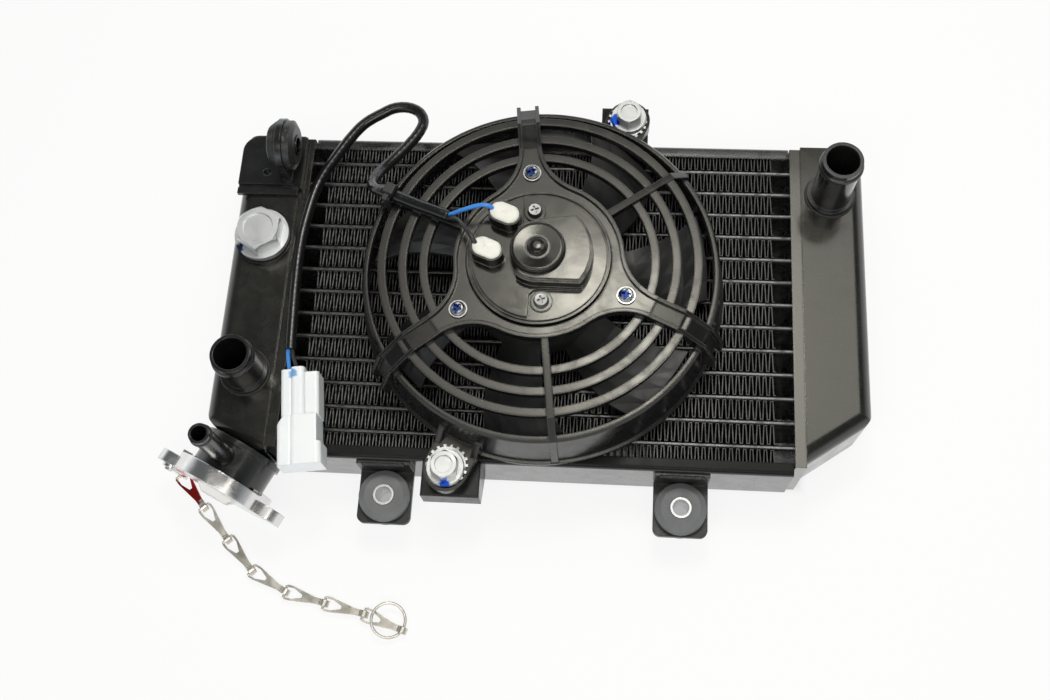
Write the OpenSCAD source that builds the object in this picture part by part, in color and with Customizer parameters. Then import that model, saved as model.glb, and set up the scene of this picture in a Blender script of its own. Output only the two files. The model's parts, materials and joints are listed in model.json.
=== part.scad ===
// Small vehicle radiator with an electric fan, a filler cap on a chain and a wiring lead.
// Sizes are millimetres. The radiator lies on its back and +Z points out of the fan side.

/* [Core] */
// Number of fin rows
row_count = 14; // [10:1:18]
// Height of one fin row
fin_height = 8; // [6:0.5:10]
// Length of one fin row
fin_length = 191; // [170:1:220]
// Length of one fold of the fin
fin_period = 2.65; // [2:0.05:4]
// Sheet of the fins
fin_sheet = 0.4; // [0.2:0.05:0.6]
// Outside height of a flat tube
tube_height = 2; // [1.6:0.1:3]
// Wall of a flat tube
tube_wall = 0.4; // [0.3:0.05:0.6]
// Bare tube between the fins and a header
tube_bare = 6; // [4:0.5:10]
// Depth of tubes and fins
core_depth = 26; // [20:1:30]

/* [Tanks] */
// Thickness of a header plate
header_thick = 4.4; // [3:0.2:6]
// Width of a tank
tank_width = 26; // [24:1:34]
// Depth of a tank from back to front
tank_depth = 36; // [35:1:44]
// Wall of a tank
tank_wall = 2; // [1.5:0.1:3]
// Rounding of the long outer edges
tank_round = 6; // [4:0.5:8]
// Slope of the lower end of the right tank
chamfer_angle = 35; // [25:1:45]
// Distance of the pipes from the header
pipe_inset = 11.6; // [11:0.1:13]

/* [Side plates] */
// Thickness of a side plate
side_thick = 2.5; // [1.5:0.1:4]
// Thickness of the folded lips
side_lip = 1.2; // [0.8:0.1:2]
// Reach of the folded lips over the fins
side_reach = 2.6; // [1.5:0.1:4]

/* [Hose pipes] */
// Outside radius of a hose pipe
pipe_r = 8; // [7:0.1:9]
// Wall of a hose pipe
pipe_wall = 1.4; // [1:0.1:2]
// Height of the inlet pipe above the tank
inlet_length = 30; // [24:1:40]
// Height of the outlet pipe above the tank
outlet_length = 22; // [18:1:32]
// Distance of the inlet from the top of the core
inlet_drop = 21.5; // [18:0.5:26]
// Distance of the outlet from the bottom of the core
outlet_rise = 30.2; // [26:0.2:36]

/* [Drain plug] */
// Distance of the plug from the top of the core
plug_drop = 48.5; // [44:0.5:54]
// Width across the flats
plug_flats = 17; // [14:0.5:19]
// Radius of the plug flange
plug_flange_r = 11.4; // [10.5:0.1:12]

/* [Filler neck] */
// Lean of the neck from straight down
neck_angle = 26; // [18:1:32]
// Length of the neck from the tank to the middle of the cap
neck_reach = 17.6; // [17:0.2:22]
// Outside radius of the neck
neck_r = 15.5; // [15:0.1:16]
// Radius of the overflow nipple
nipple_r = 4; // [3:0.1:4.2]
// Length of the overflow nipple from the neck axis
nipple_length = 47; // [36:1:54]

/* [Cap and chain] */
// Radius of the cap skirt
cap_r = 20.5; // [20.3:0.1:22]
// Half the distance over the two ears
cap_ear = 29.5; // [27:0.5:32]
// Length of one chain link from pin to pin
link_pitch = 17; // [15:0.5:20]
// Width of the wide end of a link
link_width = 6; // [5.9:0.1:8]
// Radius of the key ring
ring_r = 6.8; // [6.5:0.1:10]

/* [Mounting] */
// Half the distance between the lower mounts
mount_half = 59; // [50:1:66]
// Thickness of the welded flange of a lower bracket
flange_thick = 1.5; // [1:0.1:2.5]
// Gap between a lower grommet and that flange
mount_gap = 0.25; // [0.2:0.05:4]
// Outside radius of a rubber grommet
grommet_r = 10.25; // [9:0.25:10.5]
// Hole through a steel collar
collar_bore_r = 3.2; // [2.6:0.1:3.4]
// Thickness of the mounting brackets
bracket_thick = 2.5; // [2:0.1:3]

/* [Fan guard] */
// Sideways offset of the fan from the core
fan_x = 0.5; // [-3:0.5:3]
// Upward offset of the fan from the core
fan_y = 2; // [0:0.5:3]
// Radius of the guard rim
rim_r = 70.3; // [69:0.1:72]
// Height of the rim above the core
rim_rise = 24.5; // [24:0.5:28]
// Radius of the inner guard ring
ring_first = 45; // [43:0.5:46]
// Step from one guard ring to the next
ring_step = 8.2; // [7:0.1:8.4]
// Width of a guard ring
ring_width = 3.2; // [2:0.1:4]
// Number of guard rings
ring_count = 3; // [1:1:3]
// Height of the guard rings above the core
ring_rise = 32.4; // [32:0.2:36]
// Width of a channel arm
arm_width = 9; // [7:0.5:11]
// Distance of the lower fan bolt from the side plate
fan_bolt_gap = 4.4; // [4.4:0.1:8]

/* [Fan] */
// Number of blades
blade_count = 7; // [4:1:9]
// Distance of the blade tips from the guard rim
tip_gap = 3.8; // [3:0.1:8]
// Radius of the fan hub
hub_r = 28.8; // [27:0.1:31]
// Wall of the fan hub
hub_wall = 2; // [1.4:0.1:3]
// Thickness of a blade
blade_thick = 1.8; // [1.2:0.1:2.4]

/* [Motor] */
// Gap between the motor can and the fan hub
can_gap = 1.3; // [0.8:0.1:2]
// Step from the motor can out to its end plate
plate_step = 2.3; // [1.6:0.1:2.6]
// Thickness of the magnets
magnet_thick = 4.35; // [3:0.05:5]
// Radius of the shaft
shaft_r = 3; // [2:0.1:4]
// Running clearance of the shaft in its bushes
shaft_gap = 0.05; // [0.02:0.01:0.09]
// Height of the bearing boss above the end plate
boss_rise = 9.5; // [9:0.5:12]

/* [Wiring] */
// Radius of the black sleeve
sleeve_r = 2.3; // [2.2:0.05:2.5]
// Radius of a lead
lead_r = 0.85; // [0.6:0.05:0.9]
// Length of the plug and socket together
connector_length = 39.5; // [38:0.5:44]

/* [Hidden] */
$fn = 64;

// Core, headers and tanks
tube_pitch = fin_height + tube_height;
tube_count = row_count - 1;
half_h = (row_count * fin_height + tube_count * tube_height) / 2;
core_lift = (tank_depth - core_depth) / 2;
core_front = core_lift + core_depth;
core_mid = tank_depth / 2;
header_in = fin_length / 2 + tube_bare;
header_out = header_in + header_thick;
tank_end = header_out + tank_width;
tank_top = half_h + 1;
slot_gap = 0.05;
side_out = half_h + side_thick;
side_front = core_front + side_lip;
side_round = 0.7 * side_thick;
pipe_x = header_out + pipe_inset;
inlet_y = half_h - inlet_drop;
outlet_y = outlet_rise - half_h;
plug_y = half_h - plug_drop;

// Filler neck and cap
neck_x = -header_out - 12;
neck_y = 2.4 - half_h;
neck_z = cap_r;
neck_bore_r = neck_r - 1.8;
seat_r = 10.5;
seat_z = 5.6;
nipple_z = neck_reach - 9.6;
cam_r = neck_r + 3.4;
cam_z = neck_reach - 3.2;

// Mounts
mount_y = -side_out - flange_thick - mount_gap - grommet_r;
mount_z = core_mid - 1.5;
groove_r = 7;
grommet_h = 5.6;
collar_r = collar_bore_r + 1;
upper_y = half_h - 11.3;
upper_x = -header_out - 4.6;
upper_z = tank_depth + bracket_thick + 11.5;

// Fan and guard
bolt_angle = 67;
arm_angles = [97, 217, 337];
rib_angles = [37, 157, 277];
skirt_z = side_front + 0.4;
rim_z = core_front + rim_rise;
ring_z = core_front + ring_rise;
hub_top = core_front + 35.4;
hub_low = hub_top - 4;
can_r = hub_r - hub_wall - can_gap;
plate_r = can_r + plate_step;
plate_gap = 0.4;
guard_hub_r = plate_r + 5.2;
screw_r = plate_r + 9.2;
arm_start = guard_hub_r + 11;
blade_tip_r = rim_r - tip_gap;
fan_bolt_r = max(rim_r + 12, (side_out + fan_bolt_gap + fan_y) / sin(bolt_angle));
ear_low = side_front;
ear_thick = 6.5;
ear_top = ear_low + ear_thick;
bolt_r = 3;
nut_r = 4.3;

// Motor
plate_low = hub_low - 0.4;
plate_top = plate_low + 5;
boss_top = plate_top + boss_rise;
pad_rise = 0.8;
plate_screw_places = [[-2.3, 18.8], [2.1, -18.8]];
can_low = plate_low - 18.5;
hub_floor = can_low - 6.5;
blade_mid = hub_floor + 7.5;

// Wiring, in the order the sleeve runs from the motor to the connector
sleeve_path = [[-35.5, 17.5, 68.7], [-42, 20.2, 68], [-49, 23.1, 67], [-59, 27.4, 66.2],
  [-62.9, 29.1, 65.4], [-66.6, 31.6, 62.4], [-69.2, 36, 57.8], [-69.9, 41.5, 53],
  [-68.1, 47, 49.6], [-64.7, 52.3, 47.8], [-59.5, 59.5, 46.7], [-55.2, 66.4, 46.1],
  [-53.3, 72.5, 45.7], [-55.4, 77.4, 45.3], [-60.2, 79.9, 45], [-65.9, 79.9, 44.7],
  [-71.2, 77.6, 44.2], [-80.5, 71.2, 43.1], [-90, 57.4, 41.5], [-96.8, 44.5, 40],
  [-100.2, 28.4, 39], [-101.4, 14.8, 38.5], [-101.1, -3, 38.4], [-100.2, -20.8, 38.4],
  [-99.6, -29.5, 38.5]];
blue_start = [[-17.2, 18.2, 73.8], [-19, 18.8, 75.5], [-21.8, 19, 75.7], [-25.8, 18.8, 74.2],
  [-30.4, 18.5, 71.5]];
black_start = [[-22.6, 3, 73.8], [-24.4, 4.9, 75.5], [-26.2, 7.6, 75.5], [-28.8, 11.4, 74],
  [-31.6, 14.8, 71.6]];
blue_finish = [[-99.7, -33.5, 39.6], [-98.5, -37.4, 41.2], [-97.5, -42, 42]];
black_finish = [[-97.5, -33.5, 39.6], [-95.6, -37.2, 41.2], [-94.2, -41.7, 42]];

// Chain, heading and slope of each link
link_turn = [-48.3, -48, -46, -28, -13, -12, -19];
link_drop = [-5, -7, 0, 0, 0, 0, 0];
pin_r = 0.6;
eye_r = 1.3;
eye_out = 2;
lug_hole = [-23.5, -14.5, 3.8];

function unit(v) = v / norm(v);
function link_dir(i) = [cos(link_drop[i]) * cos(link_turn[i]), cos(link_drop[i]) * sin(link_turn[i]),
  sin(link_drop[i])];
function neck_point(p) = [neck_x + p[0] * cos(neck_angle) - p[2] * sin(neck_angle),
  neck_y - p[0] * sin(neck_angle) - p[2] * cos(neck_angle), neck_z + p[1]];
function link_at(i) = i == 0 ? neck_point(lug_hole + [0, 0, neck_reach])
  : link_at(i - 1) + link_pitch * link_dir(i - 1);

// Points of a smooth curve through a list of places
function bend(a, b, c, d, t) = 0.5 * (2 * b + (c - a) * t + (2 * a - 5 * b + 4 * c - d) * t * t
  + (3 * b - a - 3 * c + d) * t * t * t);
function curve(p, steps) = let (n = len(p) - 1) concat([for (i = [0:n - 1], k = [0:steps - 1])
  bend(p[max(i - 1, 0)], p[i], p[i + 1], p[min(i + 2, n)], k / steps)], [p[n]]);
function heading(q, i) = unit(q[min(i + 1, len(q) - 1)] - q[max(i - 1, 0)]);
function beside(p, d) = [for (i = [0:len(p) - 1]) p[i] + d * unit(cross(heading(p, i), [0, 0, 1]))];

// Rings of points round a curve, with the first point of each facing sideways
function rings(q, r, sides, up) = [for (i = [0:len(q) - 1])
  let (t = heading(q, i), a = unit(cross(t, up)), b = cross(a, t))
  for (k = [0:sides - 1]) q[i] + r * (cos(360 * k / sides) * a + sin(360 * k / sides) * b)];

// Triangles between the rings, starting at a point number
function wall(n, sides, first) = [for (i = [0:n - 2], k = [0:sides - 1])
  let (m = (k + 1) % sides, p = first + i * sides, q = p + sides)
  each [[p + k, q + k, q + m], [p + k, q + m, p + m]]];

// Round cord along a curve
module cord(path, r, steps, sides, up) {
  q = curve(path, steps);
  n = len(q);
  ends = [[for (k = [0:sides - 1]) k], [for (k = [sides - 1:-1:0]) (n - 1) * sides + k]];
  polyhedron(rings(q, r, sides, up), concat(wall(n, sides, 0), ends));
}

// Hollow tube along a curve
module tube(path, r_out, r_in, steps, sides, up) {
  q = curve(path, steps);
  n = len(q);
  step = n * sides;
  inner = [for (f = wall(n, sides, step)) [f[0], f[2], f[1]]];
  ends = [for (k = [0:sides - 1]) let (m = (k + 1) % sides, e = (n - 1) * sides)
    each [[k, m, step + m], [k, step + m, step + k],
      [e + k, step + e + m, e + m], [e + k, step + e + k, step + e + m]]];
  polyhedron(concat(rings(q, r_out, sides, up), rings(q, r_in, sides, up)),
    concat(wall(n, sides, 0), inner, ends));
}

// Hollow round bar standing on the XY plane
module pipe(r_out, r_in, h) {
  difference() {
    cylinder(r = r_out, h = h);
    translate([0, 0, -1])
      cylinder(r = r_in, h = h + 2);
  }
}

// Flat bar section with two round ends, height along x and depth along y
module slot_section(h, d) {
  square([h, d - h], center = true);
  translate([0, (d - h) / 2])
    circle(d = h);
  translate([0, (h - d) / 2])
    circle(d = h);
}

// Section with the two corners away from the origin rounded
module bow_section(w, d, r) {
  square([w - r, d]);
  translate([0, r])
    square([w, d - 2 * r]);
  translate([w - r, r])
    circle(r = r);
  translate([w - r, d - r])
    circle(r = r);
}

module at_tubes() {
  for (i = [0:tube_count - 1])
    translate([0, (i - (tube_count - 1) / 2) * tube_pitch, core_mid])
      children();
}

module core_tubes() {
  color("dimgray")
    at_tubes()
      rotate([90, 0, 90])
        linear_extrude(2 * header_out + 2, center = true)
          difference() {
            slot_section(tube_height, core_depth);
            slot_section(tube_height - 2 * tube_wall, core_depth - 2 * tube_wall);
          }
}

// One fin row, a sheet folded into flat-topped waves
module fin_row() {
  half = fin_period / 2;
  folds = 2 * floor(fin_length / fin_period);
  ease = half * 0.14;
  y = fin_height / 2;
  t = fin_sheet;
  start = -folds * half / 2;
  over = [for (k = [0:folds - 1]) let (x = start + k * half, s = k % 2 == 0)
    each (s ? [[x + ease - t / 2, y], [x + half - ease + t / 2, y]]
      : [[x + ease + t / 2, t - y], [x + half - ease - t / 2, t - y]])];
  under = [for (k = [folds - 1:-1:0]) let (x = start + k * half, s = k % 2 == 0)
    each (s ? [[x + half - ease - t / 2, y - t], [x + ease + t / 2, y - t]]
      : [[x + half - ease + t / 2, -y], [x + ease - t / 2, -y]])];
  linear_extrude(core_depth)
    polygon(concat(over, under));
}

module core_fins() {
  color("black")
    for (i = [0:row_count - 1])
      translate([0, (i - (row_count - 1) / 2) * tube_pitch, core_lift])
        fin_row();
}

module header() {
  difference() {
    translate([header_in, -half_h, 0.5])
      cube([header_thick, 2 * half_h, tank_depth - 1]);
    at_tubes()
      rotate([90, 0, 90])
        linear_extrude(2 * tank_end)
          slot_section(tube_height + 2 * slot_gap, core_depth + 2 * slot_gap);
  }
}

module header_left() {
  color("silver")
    mirror([1, 0, 0])
      header();
}

module header_right() {
  color("silver")
    header();
}

// Sloping end of a tank through a point, with the same rounded edges
module tank_slope(at, angle, d, r) {
  translate(at)
    rotate([0, 0, angle + 180])
      translate([0, -400, 0])
        rotate([90, 0, 90])
          linear_extrude(400, center = true)
            bow_section(400, d, r);
}

// Body of a right-hand tank, or its inside when shrunk by the wall
module tank_form(at, angle, corner, shrink) {
  w = tank_width - shrink;
  d = tank_depth - 2 * shrink;
  r = tank_round - shrink;
  c = corner - shrink;
  back = shrink > 0 ? 1 : 0;
  p = at + shrink * [-sin(angle), cos(angle)];
  cx = w - c;
  cy = p[1] + (sin(angle) * (cx - p[0]) + c) / cos(angle);
  qy = p[1] + tan(angle) * (w - p[0]);
  difference() {
    intersection() {
      translate([-back, tank_top - shrink, shrink])
        rotate([90, 0, 0])
          linear_extrude(2 * tank_top)
            bow_section(w + back, d, r);
      translate([0, 0, shrink])
        tank_slope(p, angle, d, r);
    }
    translate([0, 0, -1])
      linear_extrude(tank_depth + 2)
        difference() {
          polygon([[w, cy], [w + 2, cy], [w + 2, qy - 2], [w, qy - 2],
            [cx + c * sin(angle), cy - c * cos(angle)]]);
          translate([cx, cy])
            circle(r = c);
        }
  }
}

module tank(at, angle, corner) {
  translate([header_out, 0, 0])
    difference() {
      tank_form(at, angle, corner, 0);
      tank_form(at, angle, corner, tank_wall);
    }
}

module tank_left() {
  color("darkslategray")
    difference() {
      mirror([1, 0, 0])
        tank([12, neck_y], neck_angle, 12);
      translate([-pipe_x, outlet_y, tank_depth / 2])
        cylinder(r = pipe_r + 0.05, h = tank_depth);
      translate([-pipe_x, plug_y, tank_depth / 2])
        cylinder(r = 7.2, h = tank_depth);
      neck_frame()
        translate([0, 0, -8])
          cylinder(r = seat_r, h = 12);
    }
}

module tank_right() {
  color("darkslategray")
    difference() {
      tank([0, 2 - half_h], chamfer_angle, 9);
      translate([pipe_x, inlet_y, tank_depth / 2])
        cylinder(r = pipe_r + 0.05, h = tank_depth);
    }
}

// Channel along the long edge of the core, lips folded over the outer fin row
module side_plate() {
  translate([-header_in, half_h, core_lift])
    rotate([90, 0, 90])
      linear_extrude(2 * header_in)
        difference() {
          translate([-side_reach, -side_lip])
            bow_section(side_reach + side_thick, core_depth + 2 * side_lip, side_round);
          translate([-2 * side_reach, 0])
            square([2 * side_reach, core_depth]);
        }
}

module side_plate_top() {
  color("gray")
    side_plate();
}

module side_plate_bottom() {
  color("gray")
    mirror([0, 1, 0])
      side_plate();
}

// Hose pipe with a base collar and a rolled bead near its tip
module hose_pipe(length) {
  bead = length - 4;
  translate([0, 0, tank_depth])
    rotate_extrude()
      difference() {
        union() {
          translate([0, -tank_wall - 2])
            square([pipe_r, length + tank_wall + 2]);
          square([pipe_r + 1.6, 2.5]);
          translate([pipe_r - 0.6, bead])
            circle(r = 1.4);
        }
        translate([0, -20])
          square([pipe_r - pipe_wall, length + 40]);
      }
}

module inlet_pipe() {
  color("gray")
    translate([pipe_x, inlet_y, 0])
      hose_pipe(inlet_length);
}

module outlet_pipe() {
  color("gray")
    translate([-pipe_x, outlet_y, 0])
      hose_pipe(outlet_length);
}

// Frame of the filler neck, z along its axis from the end of the tank
module neck_frame() {
  translate([neck_x, neck_y, neck_z])
    rotate([90, 0, -neck_angle])
      children();
}

module filler_neck() {
  color("silver")
    neck_frame()
      difference() {
        union() {
          cylinder(r = neck_r + 1, h = 2.5);
          cylinder(r = neck_r, h = cam_z + 1);
          difference() {
            translate([0, 0, cam_z])
              cylinder(r = cam_r, h = 1.6);
            for (a = [80, 260])
              rotate([0, 0, a])
                translate([neck_r + 0.4, -6, cam_z - 1])
                  cube([10, 12, 4]);
          }
        }
        translate([0, 0, -1])
          cylinder(r = seat_r, h = 20);
        translate([0, 0, seat_z])
          cylinder(r = neck_bore_r, h = 20);
        translate([0, 0, nipple_z])
          rotate([-90, 0, 0])
            cylinder(r = nipple_r + 0.05, h = 30);
      }
}

module overflow_nipple() {
  color("silver")
    neck_frame()
      translate([0, 0, nipple_z])
        rotate([-90, 0, 0])
          difference() {
            rotate_extrude()
              difference() {
                union() {
                  translate([0, neck_bore_r + 0.8])
                    square([nipple_r, nipple_length - neck_bore_r - 0.8]);
                  translate([nipple_r - 0.4, nipple_length - 3])
                    circle(r = 0.9);
                }
                square([nipple_r - 1, nipple_length + 1]);
              }
          }
}

module at_plug() {
  translate([-pipe_x, plug_y, tank_depth])
    children();
}

module plug_boss() {
  color("darkslategray")
    at_plug()
      translate([0, 0, -tank_wall])
        difference() {
          union() {
            translate([0, 0, tank_wall])
              cylinder(r = plug_flange_r + 0.6, h = 1.5);
            cylinder(r = 7.15, h = tank_wall + 1);
          }
          translate([0, 0, -1])
            cylinder(r = 6.05, h = 10);
        }
}

module plug_seal() {
  color("dimgray")
    at_plug()
      translate([0, 0, 1.5])
        pipe(plug_flange_r - 0.6, 6.4, 1.5);
}

module hex_plug() {
  color("gainsboro")
    at_plug()
      difference() {
        union() {
          translate([0, 0, -5])
            cylinder(r = 6, h = 9);
          translate([0, 0, 3])
            cylinder(r = plug_flange_r, h = 2.4);
          intersection() {
            translate([0, 0, 5])
              rotate([0, 0, 30])
                cylinder(r = plug_flats / sqrt(3), h = 7.2, $fn = 6);
            cylinder(r1 = plug_flats / 2 + 12.2, r2 = plug_flats / 2, h = 12.2);
          }
        }
        translate([0, 0, 11.4])
          cylinder(r = plug_flats / 2 - 2.2, h = 4);
      }
}

// Plate on the front of the left tank with an upright tab for the grommet
module upper_bracket() {
  x0 = -tank_end;
  w = tank_width + 1.6;
  color("darkslategray")
    difference() {
      union() {
        translate([x0, half_h - 25.4, tank_depth])
          linear_extrude(bracket_thick)
            difference() {
              square([w, 24.6]);
              translate([0, 24.6])
                difference() {
                  translate([-1, -7])
                    square([8, 8]);
                  translate([7, -7])
                    circle(r = 7);
                }
            }
        translate([x0, half_h - 28.2, tank_depth])
          cube([w - 1.4, 3.6, bracket_thick - 0.5]);
        translate([upper_x - bracket_thick / 2, upper_y, 0])
          rotate([90, 0, 90])
            linear_extrude(bracket_thick) {
              translate([-11, tank_depth])
                square([22, upper_z - tank_depth]);
              translate([0, upper_z])
                circle(r = 11);
            }
      }
      translate([upper_x - 10, upper_y, upper_z])
        rotate([0, 90, 0])
          cylinder(r = groove_r, h = 20);
      translate([x0 + 12, half_h - 18, tank_depth - 1])
        cylinder(r = 1.6, h = 10);
      translate([x0 - 1, half_h - 25.4, tank_depth + bracket_thick - 1.4])
        cube([w - 3, 1.6, 3]);
    }
}

// Bracket welded to the bottom side plate, drilled for a grommet
module lower_bracket() {
  w = 2 * grommet_r + 1;
  low = mount_y - grommet_r - 0.4;
  difference() {
    union() {
      translate([mount_half - w / 2, low, mount_z - bracket_thick / 2])
        linear_extrude(bracket_thick)
          difference() {
            square([w, -side_out - low]);
            for (s = [0, 1])
              translate([s * w, 0])
                mirror([s, 0])
                  difference() {
                    translate([-1, -1])
                      square([4, 4]);
                    translate([3, 3])
                      circle(r = 3);
                  }
          }
      translate([mount_half - w / 2, -side_out - flange_thick, mount_z - bracket_thick / 2])
        cube([w, flange_thick, core_front - mount_z]);
    }
    translate([mount_half, mount_y, 0])
      cylinder(r = groove_r, h = tank_depth);
  }
}

module lower_bracket_left() {
  color("darkslategray")
    mirror([1, 0, 0])
      lower_bracket();
}

module lower_bracket_right() {
  color("darkslategray")
    lower_bracket();
}

module at_lower_mounts() {
  for (s = [-1, 1])
    translate([s * mount_half, mount_y, mount_z])
      children();
}

module at_upper_mount() {
  translate([upper_x, upper_y, upper_z])
    rotate([0, 90, 0])
      children();
}

// Half of a grommet section from its groove out to the end, smooth or stepped
function grommet_edge(stepped) = let (h = grommet_h, r = grommet_r)
  stepped ? [[r, 2.2], [r - 0.9, 2.7], [r - 0.6, 3.1], [r - 1.6, 3.7], [r - 1.3, 4.1],
    [r - 2.3, 4.7], [r - 2, 5], [r - 2.6, h]]
  : [[r, h - 1.4], [r - 2.4, h]];

module grommet(stepped) {
  g = bracket_thick / 2 + 0.05;
  low = [for (p = grommet_edge(stepped)) [p[0], -p[1]]];
  high = grommet_edge(false);
  n = len(low);
  rotate_extrude()
    polygon(concat([[collar_r + 0.05, -grommet_h]], [for (i = [n - 1:-1:0]) low[i]],
      [[grommet_r, -g], [groove_r - 0.05, -g], [groove_r - 0.05, g], [grommet_r, g]],
      high, [[collar_r + 0.05, grommet_h]]));
}

module mount_grommets() {
  color("black") {
    at_lower_mounts()
      grommet(false);
    at_upper_mount()
      grommet(true);
  }
}

module collar() {
  translate([0, 0, -grommet_h - 0.4])
    pipe(collar_r, collar_bore_r, 2 * grommet_h + 0.8);
}

module mount_collars() {
  color("silver") {
    at_lower_mounts()
      collar();
    at_upper_mount()
      collar();
  }
}

// Frame of the fan, z along its axis
module fan_frame() {
  translate([fan_x, fan_y, 0])
    children();
}

module at_fan_bolt(side) {
  a = side > 0 ? bolt_angle : bolt_angle + 180;
  translate([fan_x + fan_bolt_r * cos(a), fan_y + fan_bolt_r * sin(a), 0])
    children();
}

// Folded bracket from the face of a side plate out to a fan bolt at x, y, with its reach to either side
module fan_bracket(x, y, left, right) {
  w = left + right;
  t = bracket_thick;
  out = y + 9.5 - side_out;
  translate([x - left, side_out, side_front])
    difference() {
      union() {
        translate([0, 0, -t])
          cube([w, out, t]);
        translate([0, out - t, -11])
          cube([w, t, 11]);
        for (side = [0, w - t])
          translate([side, 0, 0])
            rotate([90, 0, 90])
              linear_extrude(t)
                polygon([[0, -20], [out, -11], [out, 0], [0, 0]]);
      }
      translate([left, y - side_out, -30])
        cylinder(r = bolt_r + 0.3, h = 40);
    }
}

module fan_bracket_upper() {
  color("darkslategray")
    fan_bracket(fan_x + fan_bolt_r * cos(bolt_angle), fan_y + fan_bolt_r * sin(bolt_angle), 11.5, 8.5);
}

module fan_bracket_lower() {
  color("darkslategray")
    mirror([0, 1, 0])
      fan_bracket(fan_x - fan_bolt_r * cos(bolt_angle), fan_bolt_r * sin(bolt_angle) - fan_y, 10.2, 12.8);
}

module weld_nuts() {
  color("dimgray")
    for (s = [-1, 1])
      at_fan_bolt(s)
        translate([0, 0, side_front - bracket_thick - 6])
          pipe(nut_r, bolt_r + 0.05, 6);
}

module fan_bolts() {
  color("silver")
    for (s = [-1, 1])
      at_fan_bolt(s)
        translate([0, 0, ear_top + 1]) {
          translate([0, 0, -15])
            cylinder(r = bolt_r, h = 16);
          cylinder(r1 = 7.6, r2 = 7.2, h = 1.6);
          translate([0, 0, 1])
            rotate([0, 0, 28])
              difference() {
                intersection() {
                  cylinder(r = 10 / sqrt(3), h = 5.4, $fn = 6);
                  cylinder(r1 = 10.4, r2 = 5, h = 5.4);
                }
                translate([0, 0, 4.6])
                  cylinder(r = 3.4, h = 2);
              }
        }
}

module toothed_washers() {
  color("dimgray")
    for (s = [-1, 1])
      at_fan_bolt(s)
        translate([-0.5 * s, -1.3 * s, ear_top])
          linear_extrude(1)
            difference() {
              union() {
                circle(r = 7.3);
                for (k = [0:17])
                  rotate([0, 0, 20 * k])
                    translate([6.8, -0.6])
                      square([1.5, 1.2]);
              }
              circle(r = bolt_r + 1.6);
            }
}

// Plan of the hub of the guard, flared in smooth hollows into the three arms
module hub_plan(r, half, bow) {
  cy = half + bow;
  cx = sqrt((r + bow) * (r + bow) - cy * cy);
  k = r / (r + bow);
  circle(r = r);
  for (a = arm_angles)
    rotate([0, 0, a])
      difference() {
        polygon([[0, 0], [k * cx, k * cy], [cx, cy], [cx, -cy], [k * cx, -k * cy]]);
        translate([cx, cy])
          circle(r = bow);
        translate([cx, -cy])
          circle(r = bow);
      }
}

// Side view of an arm, from the hub over the rings and down to the skirt
module arm_side(drop, foot) {
  z = hub_top - drop;
  polygon([[arm_start, z], [ring_first + 15, z - 1], [rim_r + 1.5, rim_z + 3 - drop],
    [rim_r + 6.5, rim_z - 6 - drop], [rim_r + 6.5 - drop, foot], [rim_r - 0.2, foot],
    [rim_r - 0.8, rim_z - 3], [ring_first + 14, hub_low], [arm_start, hub_low]]);
}

module guard_arm() {
  rotate([90, 0, 0])
    difference() {
      linear_extrude(arm_width, center = true)
        arm_side(0, rim_z - 13);
      linear_extrude(arm_width - 3, center = true)
        translate([0, 2.4])
          polygon([[arm_start - 4, hub_top - 3.6], [ring_first + 15, hub_top - 4.8],
            [rim_r - 0.2, rim_z + 0.4], [rim_r + 4, rim_z - 7.4], [rim_r + 4, rim_z - 24],
            [rim_r + 40, rim_z - 24], [rim_r + 40, hub_top + 20], [arm_start - 4, hub_top + 20]]);
    }
}

module guard_rib() {
  rotate([90, 0, 0])
    linear_extrude(2.8, center = true)
      polygon([[guard_hub_r - 2, hub_top - 0.4], [ring_first + 18.5, ring_z + 0.2],
        [rim_r + 0.9, rim_z + 0.6], [rim_r + 3.2, skirt_z], [rim_r + 1.2, skirt_z],
        [rim_r - 1, rim_z - 1], [ring_first + 17.4, ring_z - 3], [guard_hub_r - 2, hub_low + 0.2]]);
}

module guard_ear(side) {
  a = side > 0 ? bolt_angle : bolt_angle + 180;
  rotate([0, 0, a])
    difference() {
      union() {
        translate([fan_bolt_r, 0, ear_low])
          cylinder(r = 9, h = ear_thick);
        translate([rim_r + 0.6, -9, ear_low])
          cube([fan_bolt_r - rim_r - 0.6, 18, ear_thick]);
        for (s = [-1, 1])
          translate([rim_r + 0.4, s * 7.8 - 1.2, ear_low])
            rotate([90, 0, 0])
              translate([0, 0, -2.4])
                linear_extrude(2.4)
                  polygon([[0, 0], [6, 0], [6, ear_thick], [1, 12], [0, 12]]);
      }
      translate([fan_bolt_r, 0, 0])
        cylinder(r = bolt_r + 0.3, h = 2 * tank_depth);
    }
}

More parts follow.
